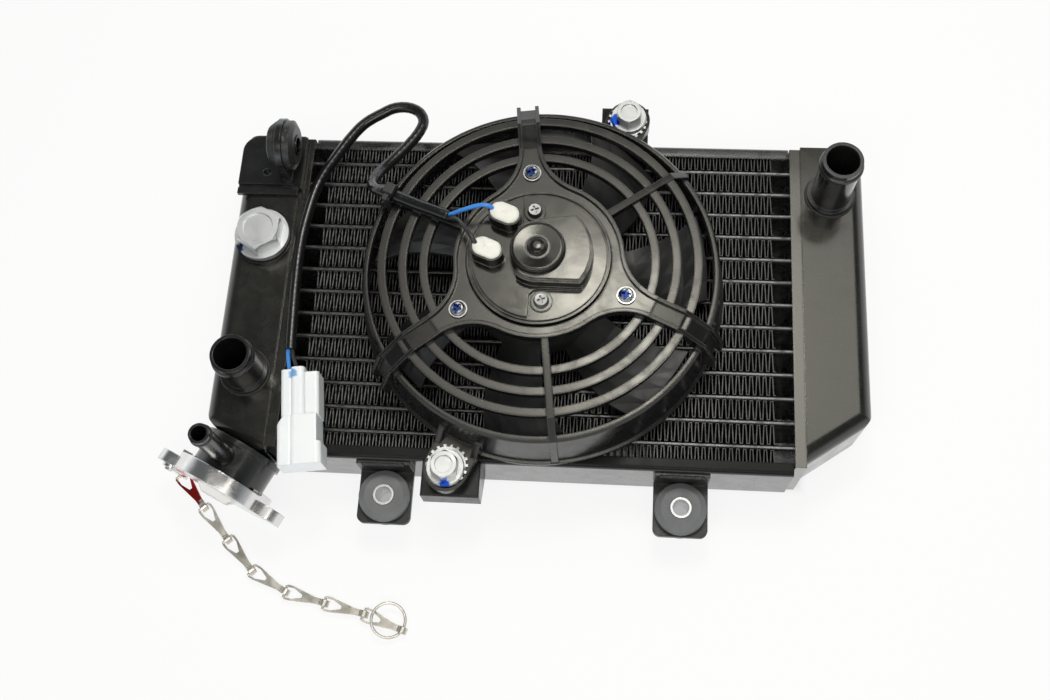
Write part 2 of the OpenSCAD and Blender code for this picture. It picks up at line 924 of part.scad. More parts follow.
module fan_guard() {
  color("dimgray")
    fan_frame()
      difference() {
        union() {
          rotate_extrude()
            polygon([[rim_r + 1.2, skirt_z], [rim_r + 3.4, skirt_z], [rim_r + 3.4, skirt_z + 1.6],
              [rim_r + 2.2, skirt_z + 2], [rim_r + 0.4, rim_z - 1.4], [rim_r - 0.6, rim_z],
              [rim_r - 2, rim_z], [rim_r - 2.4, rim_z - 1.6], [rim_r - 1.6, rim_z - 2]]);
          for (k = [0:ring_count - 1])
            let (r = ring_first + k * ring_step)
              translate([0, 0, ring_z - 3])
                pipe(r + ring_width / 2, r - ring_width / 2, 3);
          translate([0, 0, hub_low])
            linear_extrude(hub_top - hub_low)
              hub_plan(guard_hub_r, arm_width / 2, 22);
          for (a = arm_angles)
            rotate([0, 0, a])
              guard_arm();
          for (a = rib_angles)
            rotate([0, 0, a])
              guard_rib();
          guard_ear(1);
          guard_ear(-1);
        }
        translate([0, 0, hub_top - 1.2])
          linear_extrude(10)
            hub_plan(guard_hub_r - 1.5, arm_width / 2 - 1.5, 23.5);
        cylinder(r = plate_r + plate_gap, h = 200);
        for (a = arm_angles)
          rotate([0, 0, a])
            translate([screw_r, 0, 0])
              cylinder(r = 2.2, h = 200);
      }
}

module at_guard_screws() {
  fan_frame()
    for (a = arm_angles)
      rotate([0, 0, a])
        translate([screw_r, 0, hub_top - 1.2])
          children();
}

module guard_screws() {
  color("silver")
    at_guard_screws()
      difference() {
        union() {
          translate([0, 0, -6])
            cylinder(r = 2, h = 7);
          cylinder(r = 3.6, h = 0.8);
          translate([0, 0, 0.7])
            cylinder(r1 = 3.1, r2 = 2.9, h = 0.9);
          translate([0, 0, 1.5])
            cylinder(r1 = 2.9, r2 = 2, h = 0.9);
        }
        for (a = [15, 105])
          rotate([0, 0, a])
            translate([-1.8, -0.5, 1.2])
              cube([3.6, 1, 3]);
      }
}

// Twisted and slightly hollow blade between the hub and the tip
module blade() {
  ns = 4;
  nc = 4;
  w = nc + 1;
  grid = [for (side = [-1, 1], j = [0:ns], k = [0:nc])
    let (f = j / ns, r = hub_r - 0.8 + f * (blade_tip_r - hub_r + 0.8), t = k / nc - 0.5,
      chord = 22 + 12 * f, tilt = 40 - 16 * f, sweep = 10 * f * f,
      a = chord * cos(tilt) * t / r * 57.3 + sweep,
      z = blade_mid + chord * sin(tilt) * t + 2.2 * (0.25 - t * t) + side * blade_thick / 2)
    [r * cos(a), r * sin(a), z]];
  half = (ns + 1) * w;
  low = [for (j = [0:ns - 1], k = [0:nc - 1]) let (p = j * w + k)
    each [[p, p + w, p + w + 1], [p, p + w + 1, p + 1]]];
  high = [for (f = low) [f[0] + half, f[2] + half, f[1] + half]];
  rim = concat([for (k = [0:nc]) k], [for (j = [1:ns]) j * w + nc],
    [for (k = [nc - 1:-1:0]) ns * w + k], [for (j = [ns - 1:-1:1]) j * w]);
  edge = [for (i = [0:len(rim) - 1]) let (p = rim[i], q = rim[(i + 1) % len(rim)])
    each [[p, q, q + half], [p, q + half, p + half]]];
  polyhedron(grid, concat(low, high, edge));
}

module impeller() {
  color("black")
    fan_frame()
      difference() {
        union() {
          translate([0, 0, hub_floor])
            difference() {
              cylinder(r = hub_r, h = 15.5);
              translate([0, 0, 2.5])
                cylinder(r = hub_r - hub_wall, h = 20);
            }
          translate([0, 0, hub_floor])
            cylinder(r = 6, h = 5);
          for (k = [0:5])
            rotate([0, 0, 60 * k])
              translate([4, -0.9, hub_floor + 1])
                cube([hub_r - 5, 1.8, 3]);
          for (k = [0:blade_count - 1])
            rotate([0, 0, 360 * k / blade_count])
              blade();
        }
        cylinder(r = shaft_r, h = 200);
      }
}

module shaft_nut() {
  color("silver")
    fan_frame()
      translate([0, 0, hub_floor - 3])
        difference() {
          cylinder(r = 8 / sqrt(3), h = 3, $fn = 6);
          translate([0, 0, -1])
            cylinder(r = shaft_r, h = 5);
        }
}

module motor_shaft() {
  color("silver")
    fan_frame()
      translate([0, 0, hub_floor - 4.2])
        cylinder(r = shaft_r, h = boss_top - 4.5 - hub_floor + 4.2);
}

// Laminated rotor with slots for its windings
module armature() {
  color("peru")
    fan_frame()
      translate([0, 0, can_low + 4.5])
        linear_extrude(8.5)
          difference() {
            circle(r = can_r - 2.15 - magnet_thick);
            circle(r = shaft_r);
            for (k = [0:11])
              rotate([0, 0, 30 * k])
                translate([can_r - 8.65 - magnet_thick, -1.4])
                  square([10, 2.8]);
          }
}

module commutator() {
  color("peru")
    fan_frame()
      translate([0, 0, can_low + 13.6])
        difference() {
          cylinder(r = 8, h = 3.6);
          translate([0, 0, -1])
            cylinder(r = shaft_r, h = 6);
          for (k = [0:11])
            rotate([0, 0, 30 * k])
              translate([7.2, -0.25, -1])
                cube([2, 0.5, 6]);
        }
}

// Deep-drawn can with a bearing pocket in its floor
module motor_can() {
  color("darkgray")
    fan_frame()
      translate([0, 0, can_low])
        difference() {
          union() {
            cylinder(r = can_r, h = plate_low - can_low);
            translate([0, 0, -1])
              cylinder(r = 7.4, h = 2);
          }
          translate([0, 0, 1.5])
            cylinder(r = can_r - 1.2, h = 60);
          translate([0, 0, -5])
            cylinder(r = 6, h = 20);
        }
}

module motor_magnets() {
  color("dimgray")
    fan_frame()
      translate([0, 0, can_low + 2.5])
        for (a = [0, 180])
          rotate([0, 0, a])
            linear_extrude(12)
              intersection() {
                difference() {
                  circle(r = can_r - 1.25);
                  circle(r = can_r - 1.25 - magnet_thick);
                }
                polygon([[0, 0], [40, -38], [40, 38]]);
              }
}

module motor_brushes() {
  color("dimgray")
    fan_frame()
      for (a = [0, 180])
        rotate([0, 0, a])
          translate([8.4, -2, can_low + 14])
            cube([6, 4, plate_low - can_low - 14]);
}

module front_bush() {
  color("darkgoldenrod")
    fan_frame()
      translate([0, 0, can_low - 1])
        pipe(5.95, shaft_r + shaft_gap, 4);
}

module rear_bush() {
  color("darkgoldenrod")
    fan_frame()
      translate([0, 0, boss_top - 9.8])
        pipe(5.95, shaft_r + shaft_gap, 5);
}

// Oval tub for a soldered lead
module terminal_well(x, y, angle, h, r) {
  translate([x, y, 0])
    rotate([0, 0, angle])
      linear_extrude(h) {
        square([4, 2 * r], center = true);
        for (s = [-2, 2])
          translate([s, 0])
            circle(r = r);
      }
}

// Cover beside the boss, its straight sides drawn in towards the top
module cover_plan(inset) {
  intersection() {
    circle(r = 21 - inset);
    union() {
      circle(r = 12.8 - inset);
      polygon([[0, 14 - inset], [14, 15.8 - inset], [40, 19], [40, inset - 13], [0, inset - 12.8]]);
    }
    translate([inset - 8, -30])
      square(60);
  }
}

// Raised left side of the end plate, with a notch round the lower screw
module plate_step_plan() {
  intersection() {
    circle(r = plate_r - 2.2);
    polygon([[-40, -40], [-4.4, -40], [-2.8, -22.6], [-2.8, -16.2], [-1.2, -14.6], [1.6, -13.8],
      [17.4, -13.8], [17.4, 0], [-4, 10], [-6.4, 12], [-7.6, 40], [-40, 40]]);
  }
}

// Side view of the bearing boss, with a rounded edge, a dished top and a bead in the middle
module boss_side(h) {
  polygon([[0, 0], [10.9, 0], [10.6, h - 1.6], [10.3, h - 0.7], [9.7, h - 0.15], [9, h], [5, h - 0.5],
    [4, h - 0.5], [3.7, h + 0.3], [2.8, h + 1], [1.5, h + 1.4], [0, h + 1.5]]);
}

// End plate with three lugs, a raised cover, the bearing boss and two terminal tubs
module motor_end_plate() {
  top = plate_top - plate_low;
  color("gray")
    fan_frame()
      translate([0, 0, plate_low])
        difference() {
          union() {
            cylinder(r = plate_r, h = top);
            translate([0, 0, -2.2])
              linear_extrude(2.6) {
                circle(r = can_r + 1.4);
                for (a = arm_angles)
                  rotate(a) {
                    translate([screw_r, 0])
                      circle(r = 4.6);
                    translate([can_r - 2, -4.6])
                      square([screw_r - can_r + 2, 9.2]);
                  }
              }
            translate([0, 0, top - 1])
              linear_extrude(2.2)
                plate_step_plan();
            for (k = [0:2])
              translate([0, 0, top - 1])
                linear_extrude(6.2 + 0.8 * k)
                  cover_plan(0.5 * k);
            translate([0, 0, top - 1])
              rotate_extrude()
                boss_side(boss_rise + 1);
            for (p = plate_screw_places)
              translate([p[0], p[1], top - 1])
                cylinder(r = 4.2, h = 1 + pad_rise);
            terminal_well(-13.5, 14.9, -22, 12.2, 4.6);
            terminal_well(-19.4, -0.1, -22, 12.2, 4.6);
          }
          translate([0, 0, top - 0.8])
            pipe(plate_r - 0.7, plate_r - 1.4, 2);
          translate([0, 0, -3])
            cylinder(r = can_r + 0.1, h = 3);
          translate([0, 0, 4.6])
            cylinder(r = 6, h = boss_top - plate_low - 7.6);
          translate([0, 0, -3])
            cylinder(r = shaft_r + 1.2, h = 8);
          translate([0, 0, 6])
            terminal_well(-13.5, 14.9, -22, 12, 3.9);
          translate([0, 0, 6])
            terminal_well(-19.4, -0.1, -22, 12, 3.9);
          for (a = arm_angles)
            rotate([0, 0, a])
              translate([screw_r, 0, -5])
                cylinder(r = 2.05, h = 10);
          for (p = plate_screw_places)
            translate([p[0], p[1], -5])
              cylinder(r = 1.55, h = 30);
        }
}

module plate_screws() {
  color("silver")
    fan_frame()
      for (p = plate_screw_places)
        translate([p[0], p[1], plate_top + pad_rise])
          difference() {
            union() {
              translate([0, 0, -4.5])
                cylinder(r = 1.5, h = 5);
              cylinder(r1 = 3, r2 = 2.4, h = 2);
            }
            for (a = [20, 110])
              rotate([0, 0, a])
                translate([-1.6, -0.35, 1])
                  cube([3.2, 0.7, 2]);
          }
}

module terminal_potting() {
  color("white")
    fan_frame()
      translate([0, 0, plate_low + 6]) {
        terminal_well(-13.5, 14.9, -22, 6.6, 3.85);
        terminal_well(-19.4, -0.1, -22, 6.6, 3.85);
      }
}

// One lead from its terminal, through the sleeve, to the plug
module lead(start, finish, offset) {
  cord(concat(start, beside(sleeve_path, offset), finish), lead_r, 2, 8, [0.05, 0, 1]);
}

module blue_lead() {
  color("royalblue")
    lead(blue_start, blue_finish, lead_r + 0.04);
}

module black_lead() {
  color("black")
    lead(black_start, black_finish, -lead_r - 0.04);
}

module harness_sleeve() {
  color("black")
    tube(sleeve_path, sleeve_r, 2 * lead_r + 0.2, 2, 10, [0, 0, 1]);
}

// Strap round the sleeve and a rib of the guard
module cable_tie() {
  color("black")
    fan_frame()
      rotate([0, 0, rib_angles[1]])
        translate([ring_first + 18.6, 0, 0])
          rotate([90, 0, 90]) {
            linear_extrude(2.6)
              difference() {
                translate([-3.8, ring_z - 7.8])
                  square([7.6, 14.4]);
                translate([-2.7, ring_z - 6.7])
                  square([5.4, 12.2]);
              }
            translate([-2.4, ring_z + 6.6, -0.8])
              cube([4.8, 2.4, 4.2]);
          }
}

// Frame of the connector pair, x along its length away from the sleeve
module connector_frame() {
  translate([-93.1, -39.8, tank_depth + 6.4])
    rotate([0, 0, -82.8])
      children();
}

// Bar along x from first to last, its two upper edges rounded
module bar(first, last, y, z, w, h, r) {
  translate([last, y, z])
    rotate([0, -90, 0])
      linear_extrude(last - first)
        bow_section(h, w, r);
}

module connector_plug() {
  l = connector_length / 2;
  color("white")
    connector_frame()
      difference() {
        union() {
          bar(0.5, l, -6.9, -5.6, 5, 10.6, 1.5);
          bar(0, l, -2.7, -5.6, 5.4, 11.9, 1.8);
          bar(1.9, l, 2, -5.6, 6, 10, 1.5);
          translate([l - 0.4, -5.6, -3.8])
            cube([9, 11, 7.6]);
        }
        for (y = [-4.6, -1.3])
          translate([-1, y, -0.4])
            rotate([0, 90, 0])
              cylinder(r = 1.35, h = 8);
      }
}

module connector_socket() {
  l = connector_length / 2;
  color("white")
    connector_frame()
      difference() {
        intersection() {
          translate([l, -8.4, -6])
            linear_extrude(13)
              polygon([[0, 2.8], [3.6, 0], [l, 0], [l, 17.3], [11, 17.3], [11, 15.8], [0, 15.8]]);
          union() {
            bar(l, 2 * l, -8.4, -6, 6.4, 11.6, 1.8);
            bar(l, 2 * l, -3.2, -6, 12.1, 12.4, 2.2);
          }
        }
        translate([l - 1, -5.9, -4.1])
          cube([l - 2, 11.6, 8.2]);
      }
}

// Frame of the cap, z outward from the middle of its skirt
module cap_frame() {
  neck_frame()
    translate([0, 0, neck_reach])
      children();
}

module ear_plan(inset) {
  r = 7 - inset;
  square([2 * (cap_ear - 7), 2 * r], center = true);
  for (s = [-1, 1])
    translate([s * (cap_ear - 7), 0])
      circle(r = r);
}

module cap_shell() {
  color("gainsboro")
    cap_frame()
      difference() {
        union() {
          translate([0, 0, -3.4])
            cylinder(r = cap_r, h = 6.6);
          translate([0, 0, -1.6])
            linear_extrude(4.8)
              ear_plan(0);
          translate([0, 0, 3])
            cylinder(r1 = 9.5, r2 = 6, h = 2.8);
          for (a = [0, 180])
            rotate([0, 0, a])
              translate([0, 0, -4.8])
                intersection() {
                  cylinder(r = cap_r, h = 3);
                  translate([0, -7, 0])
                    cube([40, 14, 4]);
                }
        }
        translate([0, 0, -3.6])
          cylinder(r = cap_r - 1.1, h = 5.4);
        translate([0, 0, -5])
          cylinder(r = neck_r + 1, h = 4);
        difference() {
          translate([0, 0, -3])
            linear_extrude(4.8)
              ear_plan(1.3);
          translate([0, 0, -6])
            cylinder(r = cap_r, h = 12);
        }
      }
}

// Coil between the cap and the valve
module cap_spring() {
  turns = 4;
  low = seat_z + 3.1 - neck_reach + 0.7;
  high = 1.8 - 0.7;
  coil = [for (k = [0:8 * turns]) let (f = k / (8 * turns))
    [7.5 * cos(45 * k), 7.5 * sin(45 * k), low + f * (high - low)]];
  color("silver")
    cap_frame()
      cord(coil, 0.6, 2, 6, [0, 0, 1]);
}

module cap_valve() {
  color("goldenrod")
    cap_frame()
      translate([0, 0, seat_z + 1.5 - neck_reach]) {
        cylinder(r = neck_bore_r - 0.6, h = 1.6);
        cylinder(r = 3, h = 8);
      }
}

module cap_seal() {
  color("black")
    cap_frame()
      translate([0, 0, seat_z + 0.05 - neck_reach])
        pipe(neck_bore_r - 0.5, seat_r - 1.5, 1.45);
}

// Tab riveted to an ear, with a hole for the first link
module chain_lug() {
  color("silver")
    cap_frame() {
      difference() {
        translate([lug_hole[0], 0, 3.2])
          linear_extrude(1.2) {
            translate([-3, lug_hole[1]])
              square([6, -lug_hole[1]]);
            circle(r = 3);
            translate([0, lug_hole[1]])
              circle(r = 3);
          }
        translate([lug_hole[0], lug_hole[1], 0])
          cylinder(r = eye_r, h = 10);
      }
      translate([lug_hole[0], 0, 4])
        cylinder(r1 = 2, r2 = 1.4, h = 1.4);
    }
}

// Folded link, x from its pin to the eye that holds the next pin
module link() {
  h = link_width / 2;
  slot = h - 0.85;
  neck = 1.3;
  rotate([90, 0, 0])
    cylinder(r = pin_r, h = 2 * h - 1, center = true, $fn = 24);
  translate([0, 0, -0.5])
    linear_extrude(1)
      difference() {
        polygon([[-0.5, 0.7 - h], [0.6, -h], [2.8, -h], [link_pitch - 4, -neck], [link_pitch - 1.6, -neck],
          [link_pitch - 1.6, neck], [link_pitch - 4, neck], [2.8, h], [0.6, h], [-0.5, h - 0.7]]);
        polygon([[-1, -slot], [3.4, -slot], [7.4, -0.6], [7.4, 0.6], [3.4, slot], [-1, slot]]);
      }
  translate([link_pitch, neck, 0])
    rotate([90, 0, 0])
      pipe(eye_out, eye_r, 2 * neck);
}

module chain_link(i) {
  color("silver")
    translate(link_at(i))
      rotate([0, -link_drop[i], link_turn[i]])
        link();
}

module chain_link_1() {
  chain_link(0);
}

module chain_link_2() {
  chain_link(1);
}

module chain_link_3() {
  chain_link(2);
}

module chain_link_4() {
  chain_link(3);
}

module chain_link_5() {
  chain_link(4);
}

module chain_link_6() {
  chain_link(5);
}

module chain_link_7() {
  chain_link(6);
}

// Ring through the last eye, folded back over the last link
module chain_ring() {
  color("silver")
    translate(link_at(6) + link_pitch * link_dir(6))
      rotate([0, -14, link_turn[6] + 168])
        translate([ring_r, 0, 0])
          rotate_extrude()
            translate([ring_r, 0])
              circle(r = 0.6, $fn = 24);
}

core_tubes();
core_fins();
header_left();
header_right();
tank_left();
tank_right();
side_plate_top();
side_plate_bottom();
inlet_pipe();
outlet_pipe();
filler_neck();
overflow_nipple();
plug_boss();
plug_seal();
hex_plug();
upper_bracket();
lower_bracket_left();
lower_bracket_right();
mount_grommets();
mount_collars();
fan_bracket_upper();
fan_bracket_lower();
weld_nuts();
fan_bolts();
toothed_washers();
fan_guard();
guard_screws();
impeller();
shaft_nut();
motor_shaft();
armature();
commutator();
motor_can();
motor_magnets();
motor_brushes();
front_bush();
rear_bush();
motor_end_plate();
plate_screws();
terminal_potting();
blue_lead();
black_lead();
harness_sleeve();
cable_tie();
connector_plug();
connector_socket();
cap_shell();
cap_spring();
cap_valve();
cap_seal();
chain_lug();
chain_link_1();
chain_link_2();
chain_link_3();
chain_link_4();
chain_link_5();
chain_link_6();
chain_link_7();
chain_ring();
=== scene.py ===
"""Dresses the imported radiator: camera, light, cords, cap spring, sealed terminals, tie, welds, finishes."""

from __future__ import annotations

import json
import logging
import math
from dataclasses import dataclass, field, replace
from enum import Enum
from typing import Any, Callable, Iterable, Sequence, Union

import bmesh
import bpy
from mathutils import Matrix, Vector

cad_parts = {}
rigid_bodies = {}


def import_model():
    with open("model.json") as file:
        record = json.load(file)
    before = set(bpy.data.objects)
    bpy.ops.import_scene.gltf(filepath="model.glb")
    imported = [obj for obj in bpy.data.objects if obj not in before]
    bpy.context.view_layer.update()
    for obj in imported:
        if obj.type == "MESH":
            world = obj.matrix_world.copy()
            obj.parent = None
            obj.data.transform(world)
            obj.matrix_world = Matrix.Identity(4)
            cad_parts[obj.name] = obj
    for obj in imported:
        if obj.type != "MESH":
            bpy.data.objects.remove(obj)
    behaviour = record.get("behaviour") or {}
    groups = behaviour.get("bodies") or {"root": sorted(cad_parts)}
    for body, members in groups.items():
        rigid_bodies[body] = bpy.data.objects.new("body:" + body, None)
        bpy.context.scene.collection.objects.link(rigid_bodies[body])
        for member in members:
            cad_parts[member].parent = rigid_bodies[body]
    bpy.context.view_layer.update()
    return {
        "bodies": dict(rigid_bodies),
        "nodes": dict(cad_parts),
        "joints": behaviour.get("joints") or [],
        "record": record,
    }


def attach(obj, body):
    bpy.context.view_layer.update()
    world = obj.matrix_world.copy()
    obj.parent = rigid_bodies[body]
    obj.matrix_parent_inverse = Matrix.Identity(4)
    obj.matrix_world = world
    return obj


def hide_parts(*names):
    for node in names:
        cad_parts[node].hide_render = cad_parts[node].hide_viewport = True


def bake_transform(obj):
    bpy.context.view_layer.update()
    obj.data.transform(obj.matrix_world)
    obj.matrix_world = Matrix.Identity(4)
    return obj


LOG = logging.getLogger("radiator")

MM = 0.001
IMAGE_WIDTH_PX = 1050
FOCAL_PX = 1185
SENSOR_MM = 36.0
NEAR_CLIP_M = 0.01
MERGE_M = 1e-6
PARENT_BODY = "radiator"

Colour = tuple[float, float, float]
Point = tuple[float, float, float]


def metres(points: Iterable[Sequence[float]]) -> list[Vector]:
    """Turns points in millimetres into vectors in metres."""
    return [Vector(p) * MM for p in points]


def smooth_path(points: Sequence[Vector], steps: int) -> list[Vector]:
    """Runs a smooth curve through places, as the solids of the cords do.

    Args:
        points: Places that the curve passes through.
        steps: Samples for each stretch between two places.

    Returns:
        Samples from the first place to the last.
    """
    last = len(points) - 1
    samples: list[Vector] = []
    for i in range(last):
        a, b = points[max(i - 1, 0)], points[i]
        c, d = points[i + 1], points[min(i + 2, last)]
        for k in range(steps):
            t = k / steps
            squared, cubed = 2 * a - 5 * b + 4 * c - d, 3 * b - a - 3 * c + d
            samples.append(0.5 * (2 * b + (c - a) * t + squared * t**2 + cubed * t**3))
    samples.append(points[last].copy())
    return samples


def path_length(points: Sequence[Vector]) -> float:
    """Adds up the distances between neighbouring points."""
    return sum((b - a).length for a, b in zip(points, points[1:]))


def beside(points: Sequence[Vector], distance: float) -> list[Vector]:
    """Shifts a route sideways, level with the floor.

    Args:
        points: Places along the route.
        distance: Shift to the right of the route's heading, in metres.

    Returns:
        The shifted places.
    """
    last = len(points) - 1
    shifted = []
    for i, place in enumerate(points):
        heading = points[min(i + 1, last)] - points[max(i - 1, 0)]
        shifted.append(place + distance * heading.cross(Vector((0, 0, 1))).normalized())
    return shifted


def set_up(
    node: bpy.types.Node,
    settings: dict[str, Any] | None,
    inputs: dict[int | str, Any] | None,
    links: bpy.types.NodeLinks,
) -> None:
    """Fills in a new node of any tree.

    Args:
        node: The node.
        settings: Properties of the node, set before its sockets.
        inputs: Values, or sockets to link, by socket name or number.
        links: Links of its tree.
    """
    for key, value in (settings or {}).items():
        setattr(node, key, value)
    for key, value in (inputs or {}).items():
        if isinstance(value, bpy.types.NodeSocket):
            links.new(value, node.inputs[key])
        else:
            node.inputs[key].default_value = value


# Shader expressions


Term = Union["Field", float]


class Field:
    """Shader socket that takes part in Python expressions."""

    def __init__(self, tree: "ShaderTree", socket: bpy.types.NodeSocket) -> None:
        """Keeps the socket and the tree that holds it."""
        self.tree = tree
        self.socket = socket

    def math(self, operation: str, first: Term, second: Term = 0.0) -> "Field":
        """Adds a Math node for two terms."""
        return self.tree.add("ShaderNodeMath", {"operation": operation}, {0: first, 1: second})

    def __add__(self, other: Term) -> "Field":
        """Field plus a term."""
        return self.math("ADD", self, other)

    def __radd__(self, other: Term) -> "Field":
        """A term plus the field."""
        return self.math("ADD", other, self)

    def __sub__(self, other: Term) -> "Field":
        """Field minus a term."""
        return self.math("SUBTRACT", self, other)

    def __rsub__(self, other: Term) -> "Field":
        """A term minus the field."""
        return self.math("SUBTRACT", other, self)

    def __mul__(self, other: Term) -> "Field":
        """Field times a term."""
        return self.math("MULTIPLY", self, other)

    def __rmul__(self, other: Term) -> "Field":
        """A term times the field."""
        return self.math("MULTIPLY", other, self)

    def __truediv__(self, other: Term) -> "Field":
        """Field divided by a term."""
        return self.math("DIVIDE", self, other)

    def __rtruediv__(self, other: Term) -> "Field":
        """A term divided by the field."""
        return self.math("DIVIDE", other, self)

    def sine(self) -> "Field":
        """Sine of the field."""
        return self.math("SINE", self)

    def absolute(self) -> "Field":
        """The field without its sign."""
        return self.math("ABSOLUTE", self)

    def ramp(self, low: float, high: float) -> "Field":
        """Smooth step from 0 at low to 1 at high."""
        return self.tree.add(
            "ShaderNodeMapRange",
            {"interpolation_type": "SMOOTHSTEP"},
            {"Value": self, "From Min": low, "From Max": high},
        )


class ShaderTree:
    """Node tree of a material or the world, filled through one adding method."""

    def __init__(self, owner: bpy.types.Material | bpy.types.World) -> None:
        """Empties the owner's tree and keeps it."""
        owner.use_nodes = True
        self.nodes = owner.node_tree.nodes
        self.links = owner.node_tree.links
        self.nodes.clear()

    def add(
        self,
        kind: str,
        settings: dict[str, Any] | None = None,
        inputs: dict[int | str, Any] | None = None,
        output: int | str = 0,
    ) -> Field:
        """Adds any node.

        Args:
            kind: Blender's type name of the node.
            settings: Properties of the node, set before its sockets.
            inputs: Values, or fields to link, by socket name or number.
            output: Socket that the result stands for.

        Returns:
            The chosen output as a field.
        """
        node = self.nodes.new(kind)
        plain = {k: v.socket if isinstance(v, Field) else v for k, v in (inputs or {}).items()}
        set_up(node, settings, plain, self.links)
        return Field(self, node.outputs[output] if node.outputs else node.inputs[0])

    def place(self) -> Field:
        """Object coordinates in metres."""
        return self.add("ShaderNodeTexCoord", output="Object")

    def axis(self, vector: Field, name: str) -> Field:
        """One component of a vector, named X, Y or Z."""
        return self.add("ShaderNodeSeparateXYZ", inputs={0: vector}, output=name)

    def noise(self, vector: Field, size_mm: float, detail: float = 3.0, bend: float = 0.0) -> Field:
        """Even noise with features of about one size.

        Args:
            vector: Coordinates in metres.
            size_mm: Size of the features.
            detail: Octaves of finer noise.
            bend: Bending of the pattern.

        Returns:
            Noise from 0 to 1.
        """
        return self.add(
            "ShaderNodeTexNoise",
            inputs={
                "Vector": vector,
                "Scale": 1 / (size_mm * MM),
                "Detail": detail,
                "Distortion": bend,
            },
        )

    def cells(self, vector: Field, size_mm: float, smoothness: float = 0.0) -> Field:
        """Distance from the middles of cells of about one size.

        Args:
            vector: Coordinates in metres.
            size_mm: Size of the cells.
            smoothness: Rounding where cells meet, or 0 for sharp seams.

        Returns:
            Distance from 0 to about 1.
        """
        settings = {"feature": "SMOOTH_F1" if smoothness else "F1"}
        inputs: dict[int | str, Any] = {"Vector": vector, "Scale": 1 / (size_mm * MM)}
        if smoothness:
            inputs["Smoothness"] = smoothness
        return self.add("ShaderNodeTexVoronoi", settings, inputs, "Distance")

    def distance(self, centre_mm: Point) -> Field:
        """Distance from a place, in metres."""
        ends = {0: self.place(), 1: tuple(c * MM for c in centre_mm)}
        return self.add("ShaderNodeVectorMath", {"operation": "DISTANCE"}, ends, "Value")

    def stretch(self, vector: Field, scale: Point) -> Field:
        """Coordinates stretched along the axes."""
        return self.add("ShaderNodeMapping", inputs={"Vector": vector, "Scale": scale})

    def mix(self, first: Any, second: Any, amount: Term) -> Field:
        """Mixes two colours by an amount from 0 to 1."""
        def rgba(value: Any) -> Any:
            """Gives a plain colour its alpha."""
            return value if isinstance(value, Field) else (*value, 1.0)

        return self.add(
            "ShaderNodeMix",
            {"data_type": "RGBA", "clamp_factor": True},
            {0: amount, 6: rgba(first), 7: rgba(second)},
            output=2,
        )


# Finishes: first the sizes, ranges and roughness that they share


PATCH_MM, PATCH_RANGE = 22.0, (0.35, 0.7)
SMEAR_MM, SMEAR_DETAIL, SMEAR_BEND, SMEAR_RANGE = 7.0, 4.0, 0.6, (0.3, 0.7)
BEVEL_SAMPLES, RUB_SHEEN_RANGE, RUB_SHEEN_SMEAR_RANGE = 4, (0.02, 0.3), (0.25, 0.75)
COAT_ROUGHNESS = 0.12
DAB_RAGGED_MM, DAB_EDGE, DAB_ROUGHNESS = 1.6, (0.55, 0.85), 0.35
UNEVEN_DETAIL, UNEVEN_RANGE = 2.0, (0.25, 0.6)


def grey(value: float) -> Colour:
    """Colour without a hue."""
    return (value, value, value)


@dataclass(frozen=True)
class Recipe:
    """Two patterns that make a fine relief.

    Attributes:
        share: Share of the second pattern, which is noise.
        other: Size of the second pattern, in grains.
        other_mm: Its size in millimetres, where that doesn't follow the grain.
        other_detail: Its octaves.
        cells: Whether the main pattern is made of cells, and not of noise.
        smoothness: Rounding where the cells meet.
        size: Size of the main noise, in grains.
        detail: Its octaves.
        bend: Its bending.
        stretch: Its stretching along the axes.
    """

    share: float
    other: float = 0.0
    other_mm: float = 0.0
    other_detail: float = 3.0
    cells: bool = False
    smoothness: float = 0.0
    size: float = 1.0
    detail: float = 2.0
    bend: float = 0.0
    stretch: Point | None = None


class Grain(Enum):
    """Fine relief of sprayed paint, moulded skin, plated, drawn or pressed metal, and poured compound."""

    PEEL = Recipe(0.25, other=5.0, other_detail=1.0)
    PEBBLE = Recipe(0.3, other=3.0, cells=True, smoothness=0.6)
    CRYSTAL = Recipe(0.5, other=0.4, other_detail=4.0, cells=True)
    DRAWN = Recipe(0.2, other_mm=4.0, size=0.25, detail=5.0, bend=0.3, stretch=(1.0, 0.12, 1.0))
    CAST = Recipe(0.3, other=0.3, size=2.0)


@dataclass(frozen=True)
class ColourDab:
    """Dab of colour: marking paint, and painted shade on the upper grommet and its collar.

    Attributes:
        centre_mm: Middle of the dab in the part's frame.
        radius_mm: Reach of the dab.
        colour: Colour of the paint.
    """

    centre_mm: Point
    radius_mm: float
    colour: Colour


